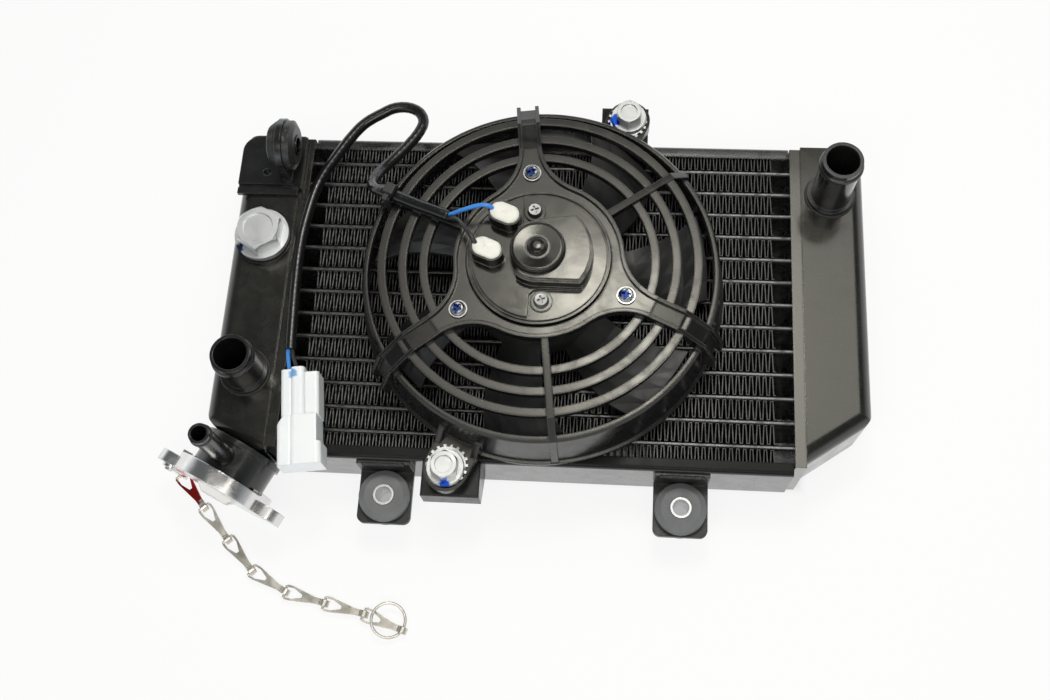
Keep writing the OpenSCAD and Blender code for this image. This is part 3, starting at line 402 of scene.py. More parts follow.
@dataclass(frozen=True)
class Finish:
    """Look of one material.

    Attributes:
        name: Name of the material.
        colour: Main colour.
        tint: Second colour, in soft patches.
        roughness: Lowest and highest roughness.
        metallic: 1 for bare metal.
        grain: Kind of fine relief.
        grain_mm: Size of that relief.
        relief_mm: Depth of that relief.
        edge_mm: Radius at which edges look rounded, or 0.
        edge_colour: Colour of rounded edges: rubbed paint, and painted highlight on motor cover and guard.
        edge_wear_and_sheen: Strength of that edge colour.
        coat: Clear gloss over the colour.
        level: Strength of the plain reflection.
        shine: Colour of that reflection.
        marks: Dabs of marking paint, and of painted shade on the upper grommet and its collar.
    """

    name: str
    colour: Colour
    tint: Colour
    roughness: tuple[float, float]
    metallic: float = 0.0
    grain: Grain = Grain.PEEL
    grain_mm: float = 0.8
    relief_mm: float = 0.01
    edge_mm: float = 0.4
    edge_colour: Colour = grey(0.12)
    edge_wear_and_sheen: float = 0.3
    coat: float = 0.0
    level: float = 0.5
    shine: Colour = grey(1.0)
    marks: tuple[ColourDab, ...] = ()

    def relief(self, tree: ShaderTree, place: Field) -> Field:
        """Height field of the fine grain.

        Args:
            tree: Tree of the material.
            place: Coordinates in metres.

        Returns:
            Heights from about 0 to 1.
        """
        recipe = self.grain.value
        if recipe.cells:
            main = tree.cells(place, self.grain_mm, recipe.smoothness)
        else:
            where = tree.stretch(place, recipe.stretch) if recipe.stretch else place
            main = tree.noise(where, self.grain_mm * recipe.size, recipe.detail, recipe.bend)
        other_mm = recipe.other_mm or self.grain_mm * recipe.other
        other = tree.noise(place, other_mm, recipe.other_detail)
        return main * (1 - recipe.share) + other * recipe.share

    def extra_height(self, tree: ShaderTree, place: Field) -> Field | None:
        """Coarser relief in millimetres, where a finish has one."""
        return None

    def extra_colour(self, tree: ShaderTree, place: Field, colour: Field) -> Field:
        """Colour changed by the finish's own pattern, where it has one."""
        return colour

    def clear_coat(self, tree: ShaderTree, place: Field) -> Term:
        """Weight of the clear gloss."""
        return self.coat

    def build(self) -> bpy.types.Material:
        """Makes the material's nodes.

        Returns:
            The material.
        """
        material = bpy.data.materials.new(self.name)
        material.diffuse_color = (*self.colour, 1.0)
        tree = ShaderTree(material)
        place = tree.place()
        patches = tree.noise(place, PATCH_MM)
        smears = tree.noise(place, SMEAR_MM, SMEAR_DETAIL, SMEAR_BEND)
        colour = tree.mix(self.colour, self.tint, patches.ramp(*PATCH_RANGE))
        colour = self.extra_colour(tree, place, colour)
        low, high = self.roughness
        rough = smears.ramp(*SMEAR_RANGE) * (high - low) + low
        height = self.relief(tree, place) * (self.relief_mm * MM)
        extra = self.extra_height(tree, place)
        if extra is not None:
            height = height + extra * MM
        bump_inputs: dict[int | str, Any] = {"Strength": 1.0, "Distance": 1.0, "Height": height}
        if self.edge_mm > 0:
            rounded = tree.add("ShaderNodeBevel", {"samples": BEVEL_SAMPLES}, {"Radius": self.edge_mm * MM})
            flat = tree.add("ShaderNodeNewGeometry", output="Normal")
            both = {0: rounded, 1: flat}
            facing = tree.add("ShaderNodeVectorMath", {"operation": "DOT_PRODUCT"}, both, "Value")
            # Rounded edges take the edge colour: rubbed paint, and a painted highlight on the motor cover and
            # guard.
            rub_and_sheen = (1 - facing).ramp(*RUB_SHEEN_RANGE) * smears.ramp(*RUB_SHEEN_SMEAR_RANGE) * self.edge_wear_and_sheen
            colour = tree.mix(colour, self.edge_colour, rub_and_sheen)
            bump_inputs["Normal"] = rounded
        for mark in self.marks:
            colour, rough = self.daub(tree, place, mark, colour, rough)
        normal = tree.add("ShaderNodeBump", inputs=bump_inputs)
        shader = tree.add(
            "ShaderNodeBsdfPrincipled",
            inputs={
                "Base Color": colour,
                "Roughness": rough,
                "Metallic": self.metallic,
                "Specular IOR Level": self.level,
                "Specular Tint": (*self.shine, 1.0),
                "Coat Weight": self.clear_coat(tree, place),
                "Coat Roughness": COAT_ROUGHNESS,
                "Normal": normal,
            },
        )
        tree.add("ShaderNodeOutputMaterial", inputs={"Surface": shader})
        return material

    @staticmethod
    def daub(
        tree: ShaderTree, place: Field, mark: ColourDab, colour: Field, rough: Field
    ) -> tuple[Field, Field]:
        """Lays one dab over the colour.

        Args:
            tree: Tree of the material.
            place: Coordinates in metres.
            mark: The dab.
            colour: Colour so far.
            rough: Roughness so far.

        Returns:
            Colour and roughness with the dab.
        """
        reach = mark.radius_mm * MM
        ragged = tree.distance(mark.centre_mm) + (tree.noise(place, DAB_RAGGED_MM) - 0.5) * reach
        cover = 1 - ragged.ramp(*(share * reach for share in DAB_EDGE))
        return tree.mix(colour, mark.colour, cover), rough * (1 - cover) + cover * DAB_ROUGHNESS


@dataclass(frozen=True)
class DullFrontFinish(Finish):
    """Paint that shines on the sides of a piece and is dull on its front.

    Attributes:
        dull_mm: Heights between which the gloss ends.
    """

    dull_mm: tuple[float, float] = (31.2, 31.9)

    def clear_coat(self, tree: ShaderTree, place: Field) -> Term:
        """Gloss below the front only."""
        return (1 - tree.axis(place, "Z").ramp(*(z * MM for z in self.dull_mm))) * self.coat


@dataclass(frozen=True)
class FrontFinish(Finish):
    """Paint with a painted highlight along the front edge of the core.

    Attributes:
        front_mm: Height of that edge.
        band_mm: Depth over which the painted highlight fades in towards the front.
        highlight_colour: Colour of the painted highlight on the edge.
        uneven_mm: Size of the patches in which it shows.
        lit_mm: Places along X where the painted highlight is faintest and where it is full.
        least: Share of the painted highlight that is left where it is faintest.
    """

    front_mm: float = 31.0
    band_mm: float = 0.7
    highlight_colour: Colour = grey(0.06)
    uneven_mm: float = 5.0
    lit_mm: tuple[float, float] = (-60.0, 60.0)
    least: float = 0.25

    def extra_colour(self, tree: ShaderTree, place: Field, colour: Field) -> Field:
        """Front edges lightened by a painted highlight."""
        edge = tree.axis(place, "Z").ramp((self.front_mm - self.band_mm) * MM, self.front_mm * MM)
        uneven = tree.noise(place, self.uneven_mm, UNEVEN_DETAIL).ramp(*UNEVEN_RANGE)
        lit = tree.axis(place, "X").ramp(*(x * MM for x in self.lit_mm)) * (1 - self.least) + self.least
        return tree.mix(colour, self.highlight_colour, edge * uneven * lit * self.straight(tree, place))

    def straight(self, tree: ShaderTree, place: Field) -> Term:
        """Share of the edge that stands clear, everywhere the same here."""
        return 1.0


@dataclass(frozen=True)
class FinFinish(FrontFinish):
    """Painted fins with louvres pressed along their depth.

    Attributes:
        pitch_mm: Distance from louvre to louvre.
        louvre_mm: Height of a louvre.
        row_mm: Distance from row to row.
        run: Shares of that distance, from the middle of a row, where a fin begins and ends its bend.
    """

    pitch_mm: float = 1.3
    louvre_mm: float = 0.16
    row_mm: float = 10.0
    run: tuple[float, float] = (0.2, 0.36)

    def straight(self, tree: ShaderTree, place: Field) -> Term:
        """Fades the painted highlight on the edges where the fins bend on to a tube."""
        row = tree.axis(place, "Y") / (self.row_mm * MM)
        return 1 - (row.math("FRACT", row) - 0.5).absolute().ramp(*self.run)

    def extra_height(self, tree: ShaderTree, place: Field) -> Field | None:
        """Waves of the louvres through the depth of the core."""
        depth = tree.axis(place, "Z")
        return (depth * (math.tau / (self.pitch_mm * MM))).sine() * self.louvre_mm


@dataclass(frozen=True)
class SleeveFinish(Finish):
    """Soft sleeve with faint wraps along its length.

    Attributes:
        wrap_mm: Distance from wrap to wrap.
        wrap_depth_mm: Depth of a wrap.
    """

    wrap_mm: float = 2.6
    wrap_depth_mm: float = 0.012

    def extra_height(self, tree: ShaderTree, place: Field) -> Field | None:
        """Waves across the length, read from the mesh."""
        along = tree.add("ShaderNodeAttribute", {"attribute_name": "along"}, output="Fac")
        return (along * (math.tau / (self.wrap_mm * MM))).sine() * self.wrap_depth_mm


BOLT_BLUE = (0.015, 0.08, 0.5)
FAN_MM = (0.5, 2.0)
SCREW_CIRCLE_MM = 37.0
SCREW_TOP_MM = 67.0
ARM_ANGLES = (97.0, 217.0, 337.0)
FAN_BOLT_CIRCLE_MM = 84.63
FAN_BOLT_ANGLES = (67.0, 247.0)
FAN_BOLT_TOP_MM = 41.0
UPPER_GROMMET_MM = (-110.5, 57.7, 50.0)
PLUG_SIDE_MM = (-126.4, 13.6, 40.6)
FIRST_LINK_MM = (-143.0, -81.6, 6.0)
CONNECTOR_MOUTH_MM = (-94.6, -42.6, 48.0)


def round_the_fan(radius: float, angle: float, height: float) -> Point:
    """Place on a circle about the fan's axis, in millimetres."""
    turn = math.radians(angle)
    return (FAN_MM[0] + radius * math.cos(turn), FAN_MM[1] + radius * math.sin(turn), height)


def offset(point: Point, x: float, y: float) -> Point:
    """Moves a place at its own height."""
    return (point[0] + x, point[1] + y, point[2])


UPPER_BOLT, LOWER_BOLT = (round_the_fan(FAN_BOLT_CIRCLE_MM, a, FAN_BOLT_TOP_MM) for a in FAN_BOLT_ANGLES)
SCREW_BLUE = (0.012, 0.025, 0.1)
SCREW_MARKS = tuple(
    ColourDab(offset(round_the_fan(SCREW_CIRCLE_MM, angle, SCREW_TOP_MM), -0.5, -0.2), 2.7, SCREW_BLUE)
    for angle in ARM_ANGLES
)

TANK_BLACK = ((0.008, 0.008, 0.0078), (0.012, 0.0118, 0.011))
TANK_PAINT = Finish(
    "tank_paint", *TANK_BLACK, (0.2, 0.32),
    grain_mm=1.1, relief_mm=0.025, edge_mm=0.8, edge_wear_and_sheen=0.08, coat=0.6, shine=(1.0, 0.97, 0.84),
)
HEADER_PAINT = replace(
    TANK_PAINT, name="header_paint", coat=1.0, level=0.8, edge_colour=(0.2, 0.2, 0.19), edge_wear_and_sheen=0.25,
)
DULL_FRONT_PAINT = DullFrontFinish(
    "dull_front_paint", *TANK_BLACK, (0.24, 0.36),
    grain_mm=2.0, relief_mm=0.02, edge_mm=0.8, edge_wear_and_sheen=0.1, coat=1.0, level=0.12,
)
ROLLED_PAINT = replace(
    TANK_PAINT, name="rolled_edge_paint", roughness=(0.14, 0.24), grain_mm=2.0, edge_mm=2.2, coat=1.0,
    level=1.0, shine=grey(1.0),
)
# The light front edges of the tubes are a painted highlight, stronger to the right.
TUBE_PAINT = FrontFinish(
    "tube_paint", (0.01, 0.01, 0.0105), grey(0.018), (0.2, 0.32),
    grain_mm=0.8, relief_mm=0.008, edge_mm=0.0, band_mm=0.12, highlight_colour=(0.3, 0.3, 0.295),
)
# The light front edges of the fins are a painted highlight, stronger to the left.
FIN_PAINT = FinFinish(
    "fin_paint", (0.007, 0.007, 0.0075), grey(0.012), (0.32, 0.5),
    grain_mm=0.6, relief_mm=0.008, edge_mm=0.0, highlight_colour=grey(0.13), uneven_mm=1.8,
    lit_mm=(70.0, -50.0),
)
BRACKET_PAINT = Finish(
    "bracket_paint", (0.01, 0.01, 0.0105), grey(0.016), (0.3, 0.46), grain=Grain.PEBBLE,
    grain_mm=1.3, relief_mm=0.06, edge_mm=0.6,
)
GLOSS_PAINT = Finish(
    "bracket_gloss", (0.009, 0.009, 0.0095), grey(0.014), (0.16, 0.28),
    grain_mm=1.6, relief_mm=0.02, edge_mm=0.8, coat=0.3,
)
FOLDED_PAINT = replace(GLOSS_PAINT, name="folded_bracket_paint", edge_mm=1.8, coat=0.0, level=0.25)
# The grey of the rubber is a painted sheen, as on the lit lower grommets; the dark dab over the upper grommet
# is painted shade.
RUBBER = Finish(
    "grommet_rubber", (0.14, 0.144, 0.15), (0.19, 0.194, 0.2), (0.55, 0.75), grain=Grain.PEBBLE,
    grain_mm=0.4, relief_mm=0.015, edge_mm=0.6, edge_colour=grey(0.1),
    marks=(ColourDab(UPPER_GROMMET_MM, 22.0, grey(0.02)),),
)
# Its pale edge colour is a painted highlight along the guard's rounded edges.
GUARD_PLASTIC = Finish(
    "guard_plastic", (0.006, 0.006, 0.0064), (0.009, 0.0092, 0.009), (0.17, 0.29), grain=Grain.PEBBLE,
    grain_mm=0.45, relief_mm=0.006, edge_mm=1.0, edge_colour=(0.11, 0.11, 0.115), edge_wear_and_sheen=0.6,
    shine=(1.0, 0.98, 0.9),
)
FAN_PLASTIC = Finish(
    "fan_plastic", (0.02, 0.02, 0.0205), (0.035, 0.035, 0.034), (0.3, 0.45), grain=Grain.PEBBLE,
    grain_mm=0.5, relief_mm=0.008,
)
# Its pale edge colour is a painted highlight along the cover's rounded edges.
MOTOR_COVER = Finish(
    "motor_cover", (0.007, 0.007, 0.0068), (0.011, 0.011, 0.01), (0.11, 0.18),
    grain_mm=1.5, relief_mm=0.012, edge_mm=0.6, edge_colour=(0.36, 0.35, 0.32), edge_wear_and_sheen=0.75,
    shine=(1.0, 0.98, 0.9),
)
ZINC = Finish(
    "zinc_plating", (0.58, 0.585, 0.58), (0.47, 0.48, 0.485), (0.36, 0.5), metallic=1.0,
    grain=Grain.CRYSTAL, grain_mm=0.9, relief_mm=0.02, edge_mm=0.35, edge_colour=grey(0.8),
    edge_wear_and_sheen=0.5,
    marks=(
        ColourDab(offset(LOWER_BOLT, 0.4, -7.0), 2.9, BOLT_BLUE),
        ColourDab(offset(UPPER_BOLT, -5.4, -1.6), 3.9, BOLT_BLUE),
        ColourDab(PLUG_SIDE_MM, 3.2, (0.03, 0.05, 0.16)),
        # Painted shade: a dark dab over the upper collar.
        ColourDab(UPPER_GROMMET_MM, 14.0, grey(0.03)),
    ),
)
# Lighter than the zinc of the bolts: partly a matter plating, partly painted light for a plug that gets less
# of the lamps.
PLUG_ZINC = replace(
    ZINC, name="plug_zinc", colour=(0.72, 0.73, 0.73), tint=(0.62, 0.63, 0.635), roughness=(0.42, 0.55),
)
SCREW_STEEL = Finish(
    "screw_steel", grey(0.36), (0.26, 0.26, 0.265), (0.24, 0.4), metallic=1.0,
    grain=Grain.CRYSTAL, grain_mm=0.5, relief_mm=0.02, edge_mm=0.2, edge_colour=grey(0.6),
    edge_wear_and_sheen=0.5, marks=SCREW_MARKS,
)
PLATE_STEEL = replace(SCREW_STEEL, name="plate_screw_steel", roughness=(0.4, 0.55), marks=())
STEEL = Finish(
    "turned_steel", (0.55, 0.55, 0.54), grey(0.45), (0.2, 0.38), metallic=1.0, grain=Grain.DRAWN,
    grain_mm=1.0, relief_mm=0.008, edge_mm=0.25, edge_colour=grey(0.8),
)
CAP_PLATE = Finish(
    "cap_plating", (0.82, 0.81, 0.79), (0.72, 0.71, 0.7), (0.16, 0.3), metallic=1.0, grain=Grain.DRAWN,
    grain_mm=2.0, relief_mm=0.01, edge_mm=0.6, edge_colour=(0.92, 0.92, 0.9), edge_wear_and_sheen=0.4,
)
CHAIN_PLATE = Finish(
    "chain_plating", (0.74, 0.71, 0.64), (0.6, 0.57, 0.5), (0.28, 0.45), metallic=1.0,
    grain=Grain.CRYSTAL, grain_mm=1.2, relief_mm=0.02, edge_mm=0.3, edge_colour=(0.8, 0.77, 0.72),
    edge_wear_and_sheen=0.5, marks=(ColourDab(FIRST_LINK_MM, 10.0, (0.35, 0.02, 0.02)),),
)
NYLON = Finish(
    "natural_nylon", (0.92, 0.945, 0.96), (0.87, 0.905, 0.93), (0.3, 0.45), grain_mm=1.4,
    relief_mm=0.01, edge_mm=0.5, edge_colour=(0.92, 0.93, 0.94), edge_wear_and_sheen=0.4,
    marks=(ColourDab(CONNECTOR_MOUTH_MM, 2.6, (0.2, 0.42, 0.75)),),
)
SEALANT = Finish(
    "terminal_sealant", (0.82, 0.81, 0.75), (0.76, 0.75, 0.68), (0.4, 0.55), grain=Grain.CAST,
    grain_mm=1.6, relief_mm=0.12, edge_mm=0.0,
)
BLUE_WIRE = Finish(
    "blue_insulation", (0.035, 0.2, 0.62), (0.05, 0.27, 0.75), (0.3, 0.42),
    grain_mm=0.7, relief_mm=0.01, edge_mm=0.0,
)
BLACK_WIRE = Finish(
    "black_insulation", (0.012, 0.012, 0.013), grey(0.02), (0.3, 0.45),
    grain_mm=0.7, relief_mm=0.01, edge_mm=0.0,
)
SLEEVE = SleeveFinish(
    "wiring_sleeve", (0.006, 0.006, 0.0064), grey(0.01), (0.14, 0.28),
    grain_mm=1.2, relief_mm=0.02, edge_mm=0.0,
)
TIE_PLASTIC = Finish(
    "tie_plastic", grey(0.012), grey(0.018), (0.32, 0.45),
    grain_mm=0.5, relief_mm=0.006, edge_mm=0.0,
)
MAGNET = Finish(
    "ferrite", (0.05, 0.05, 0.052), grey(0.07), (0.5, 0.7), grain=Grain.CAST, relief_mm=0.04,
)
LAMINATION = Finish(
    "rotor_stack", (0.3, 0.29, 0.28), (0.22, 0.21, 0.2), (0.35, 0.5), metallic=1.0, grain=Grain.DRAWN,
    grain_mm=0.6, relief_mm=0.02,
)
COPPER = Finish(
    "copper_and_bronze", (0.72, 0.42, 0.22), (0.6, 0.33, 0.17), (0.25, 0.42), metallic=1.0,
    grain=Grain.CRYSTAL,
)

NODE_FINISHES: dict[Finish, tuple[str, ...]] = {
    TANK_PAINT: ("tank_left", "tank_right", "plug_boss", "header_left"),
    HEADER_PAINT: ("header_right",),
    DULL_FRONT_PAINT: ("side_plate_bottom",),
    ROLLED_PAINT: ("side_plate_top",),
    TUBE_PAINT: ("core_tubes",),
    FIN_PAINT: ("core_fins",),
    BRACKET_PAINT: ("lower_bracket_left", "lower_bracket_right", "weld_nuts", "motor_can"),
    GLOSS_PAINT: ("upper_bracket", "inlet_pipe", "outlet_pipe", "filler_neck", "overflow_nipple"),
    FOLDED_PAINT: ("fan_bracket_upper", "fan_bracket_lower"),
    RUBBER: ("mount_grommets", "plug_seal", "cap_seal"),
    GUARD_PLASTIC: ("fan_guard",),
    FAN_PLASTIC: ("impeller",),
    MOTOR_COVER: ("motor_end_plate",),
    ZINC: ("fan_bolts", "toothed_washers", "mount_collars", "shaft_nut"),
    PLUG_ZINC: ("hex_plug",),
    SCREW_STEEL: ("guard_screws",),
    PLATE_STEEL: ("plate_screws",),
    STEEL: ("motor_shaft",),
    CAP_PLATE: ("cap_shell", "chain_lug"),
    CHAIN_PLATE: tuple(f"chain_link_{i}" for i in range(1, 8)) + ("chain_ring",),
    NYLON: ("connector_plug", "connector_socket"),
    MAGNET: ("motor_magnets", "motor_brushes"),
    LAMINATION: ("armature",),
    COPPER: ("commutator", "front_bush", "rear_bush", "cap_valve"),
}


class Palette:
    """Materials, each made once."""

    def __init__(self) -> None:
        """Starts with no material."""
        self.made: dict[Finish, bpy.types.Material] = {}

    def get(self, finish: Finish) -> bpy.types.Material:
        """Material of a finish."""
        if finish not in self.made:
            self.made[finish] = finish.build()
        return self.made[finish]

    def dress_nodes(self, nodes: dict[str, bpy.types.Object]) -> None:
        """Gives every solid of the frame its finish.

        Args:
            nodes: Objects of the frame by name.
        """
        for finish, names in NODE_FINISHES.items():
            for name in names:
                slots = nodes[name].material_slots
                for slot in slots:
                    slot.material = self.get(finish)
                if not slots:
                    nodes[name].data.materials.append(self.get(finish))
                LOG.info("finish %s on %s", finish.name, name)


# Meshes


def add_object(name: str, mesh: bpy.types.Mesh) -> bpy.types.Object:
    """Links a mesh to the scene as an object at the origin."""
    thing = bpy.data.objects.new(name, mesh)
    bpy.context.scene.collection.objects.link(thing)
    return thing


def mesh_from(name: str, build: Callable[[bmesh.types.BMesh], None], smooth: bool = True) -> bpy.types.Mesh:
    """Makes a mesh with outward faces.

    Args:
        name: Name of the mesh.
        build: Fills the empty mesh.
        smooth: Whether the faces shade smoothly.

    Returns:
        The finished mesh.
    """
    shape = bmesh.new()
    build(shape)
    bmesh.ops.remove_doubles(shape, verts=shape.verts, dist=MERGE_M)
    bmesh.ops.recalc_face_normals(shape, faces=shape.faces)
    for face in shape.faces:
        face.smooth = smooth
    mesh = bpy.data.meshes.new(name)
    shape.to_mesh(mesh)
    shape.free()
    return mesh


def skin(shape: bmesh.types.BMesh, loops: Sequence[Sequence[bmesh.types.BMVert]]) -> None:
    """Joins each closed loop of points to the next with faces.

    Args:
        shape: Mesh that grows.
        loops: Loops with the same number of points.
    """
    for low, high in zip(loops, loops[1:]):
        count = len(low)
        for k in range(count):
            n = (k + 1) % count
            shape.faces.new((low[k], low[n], high[n], high[k]))


class NodeTool:
    """Geometry Nodes tree with named inputs, run once on a line of points."""

    def __init__(self, name: str) -> None:
        """Makes an empty tree with a geometry input and output."""
        self.tree = bpy.data.node_groups.new(name, "GeometryNodeTree")
        self.tree.interface.new_socket("Geometry", in_out="INPUT", socket_type="NodeSocketGeometry")
        self.tree.interface.new_socket("Geometry", in_out="OUTPUT", socket_type="NodeSocketGeometry")
        self.inlet = self.tree.nodes.new("NodeGroupInput")
        self.outlet = self.tree.nodes.new("NodeGroupOutput")
        self.identifiers: dict[str, str] = {}

    def input(self, name: str, kind: str) -> bpy.types.NodeSocket:
        """Adds a named input.

        Args:
            name: Name of the input.
            kind: Socket type, such as NodeSocketFloat.

        Returns:
            The input's socket inside the tree.
        """
        socket = self.tree.interface.new_socket(name, in_out="INPUT", socket_type=kind)
        self.identifiers[name] = socket.identifier
        return self.inlet.outputs[name]

    def add(
        self,
        kind: str,
        settings: dict[str, Any] | None = None,
        inputs: dict[int | str, Any] | None = None,
    ) -> bpy.types.NodeSocket:
        """Adds any node.

        Args:
            kind: Blender's type name of the node.
            settings: Properties of the node, set before its sockets.
            inputs: Values, or sockets to link, by name or number.

        Returns:
            The node's first output.
        """
        node = self.tree.nodes.new(kind)
        set_up(node, settings, inputs, self.tree.links)
        return node.outputs[0]

    def close(self, geometry: bpy.types.NodeSocket) -> None:
        """Ends the tree in Realize Instances and Set Material."""
        paint = self.input("Material", "NodeSocketMaterial")
        whole = self.add("GeometryNodeRealizeInstances", inputs={"Geometry": geometry})
        done = self.add("GeometryNodeSetMaterial", inputs={"Geometry": whole, "Material": paint})
        self.tree.links.new(done, self.outlet.inputs[0])

    def run(self, name: str, base: bpy.types.Mesh, values: dict[str, Any]) -> bpy.types.Object:
        """Runs the tree on a mesh and keeps the result as a plain mesh.

        Args:
            name: Name of the piece.
            base: Line of points that the tree works on.
            values: Values of the named inputs.

        Returns:
            The piece, without a modifier.
        """
        carrier = add_object(f"{name}_line", base)
        modifier = carrier.modifiers.new("shape", "NODES")
        modifier.node_group = self.tree
        for key, value in values.items():
            modifier[self.identifiers[key]] = value
        graph = bpy.context.evaluated_depsgraph_get()
        mesh = bpy.data.meshes.new_from_object(carrier.evaluated_get(graph), depsgraph=graph)
        mesh.name = name
        carrier.modifiers.remove(modifier)
        bpy.data.objects.remove(carrier)
        bpy.data.meshes.remove(base)
        return add_object(name, mesh)


def line_mesh(name: str, points: Sequence[Vector], girth: Sequence[float] | None = None) -> bpy.types.Mesh:
    """Line of points, each with its distance along the line and its girth.

    Args:
        name: Name of the mesh.
        points: Points of the line.
        girth: Scale of the section at each point, 1 where it is left out.

    Returns:
        A mesh of edges.
    """
    mesh = bpy.data.meshes.new(name)
    mesh.from_pydata([tuple(p) for p in points], [(i, i + 1) for i in range(len(points) - 1)], [])
    travelled = [0.0]
    for a, b in zip(points, points[1:]):
        travelled.append(travelled[-1] + (b - a).length)
    for key, values in (("along", travelled), ("girth", list(girth or [1.0] * len(points)))):
        mesh.attributes.new(key, "FLOAT", "POINT").data.foreach_set("value", values)
    return mesh


BLOCK_SEGMENTS, BLOCK_PROFILE = 2, 0.5
CORD_SIDES = 20
DROP_SUBDIVISIONS = 3
DROP_SIZES = ((0.85, 0.9, 0.8), (1.15, 1.12, 1.1))


def cord_tool() -> NodeTool:
    """Tree that sweeps a round section along a line.

    Returns:
        A tool with the inputs Radius and Material.
    """
    tool = NodeTool("cord_sweep")
    radius = tool.input("Radius", "NodeSocketFloat")
    curve = tool.add("GeometryNodeMeshToCurve", inputs={"Mesh": tool.inlet.outputs[0]})
    circle = {"Resolution": CORD_SIDES, "Radius": radius}
    section = tool.add("GeometryNodeCurvePrimitiveCircle", inputs=circle)
    girth = tool.add("GeometryNodeInputNamedAttribute", {"data_type": "FLOAT"}, {"Name": "girth"})
    swept = tool.add(
        "GeometryNodeCurveToMesh",
        inputs={"Curve": curve, "Profile Curve": section, "Scale": girth, "Fill Caps": True},
    )
    tool.close(tool.add("GeometryNodeSetShadeSmooth", inputs={"Geometry": swept}))
    return tool


def bead_tool() -> NodeTool:
    """Tree that lays the overlapping drops of a weld along a line.

    Returns:
        A tool with the inputs Radius, Pitch, Seed and Material.
    """
    tool = NodeTool("weld_bead")
    radius = tool.input("Radius", "NodeSocketFloat")
    pitch = tool.input("Pitch", "NodeSocketFloat")
    seed = tool.input("Seed", "NodeSocketInt")
    curve = tool.add("GeometryNodeMeshToCurve", inputs={"Mesh": tool.inlet.outputs[0]})
    spread = {"Curve": curve, "Length": pitch}
    points = tool.add("GeometryNodeCurveToPoints", {"mode": "LENGTH"}, spread)
    ball = {"Radius": radius, "Subdivisions": DROP_SUBDIVISIONS}
    drop = tool.add("GeometryNodeMeshIcoSphere", inputs=ball)
    sizes = {0: DROP_SIZES[0], 1: DROP_SIZES[1], "Seed": seed}
    size = tool.add("FunctionNodeRandomValue", {"data_type": "FLOAT_VECTOR"}, sizes)
    drops = tool.add(
        "GeometryNodeInstanceOnPoints",
        inputs={
            "Points": points,
            "Instance": drop,
            "Rotation": points.node.outputs["Rotation"],
            "Scale": size,
        },
    )
    tool.close(tool.add("GeometryNodeSetShadeSmooth", inputs={"Geometry": drops}))
    return tool


# Sub-assemblies


def install(piece: bpy.types.Object, slot: str, *nodes: str) -> None:
    """Puts a piece on the radiator's body and hides the solids that it stands for.

    Args:
        piece: The piece.
        slot: Not used.
        nodes: Solids that it stands for.
    """
    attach(piece, PARENT_BODY)
    if nodes:
        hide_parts(*nodes)
    LOG.info("piece %s", piece.name)


@dataclass(frozen=True)
class Lead:
    """Insulated lead from a terminal to the connector.

    Attributes:
        name: Name of the piece.
        node: Solid that it stands for.
        slot: Material slot of the record.
        finish: Finish of its insulation.
        side: 1 on the right of the sleeve's heading, -1 on the left.
        start_mm: Places before the sleeve.
        end_mm: Places after the sleeve.
    """

    name: str
    node: str
    slot: str
    finish: Finish
    side: int
    start_mm: tuple[Point, ...]
    end_mm: tuple[Point, ...]


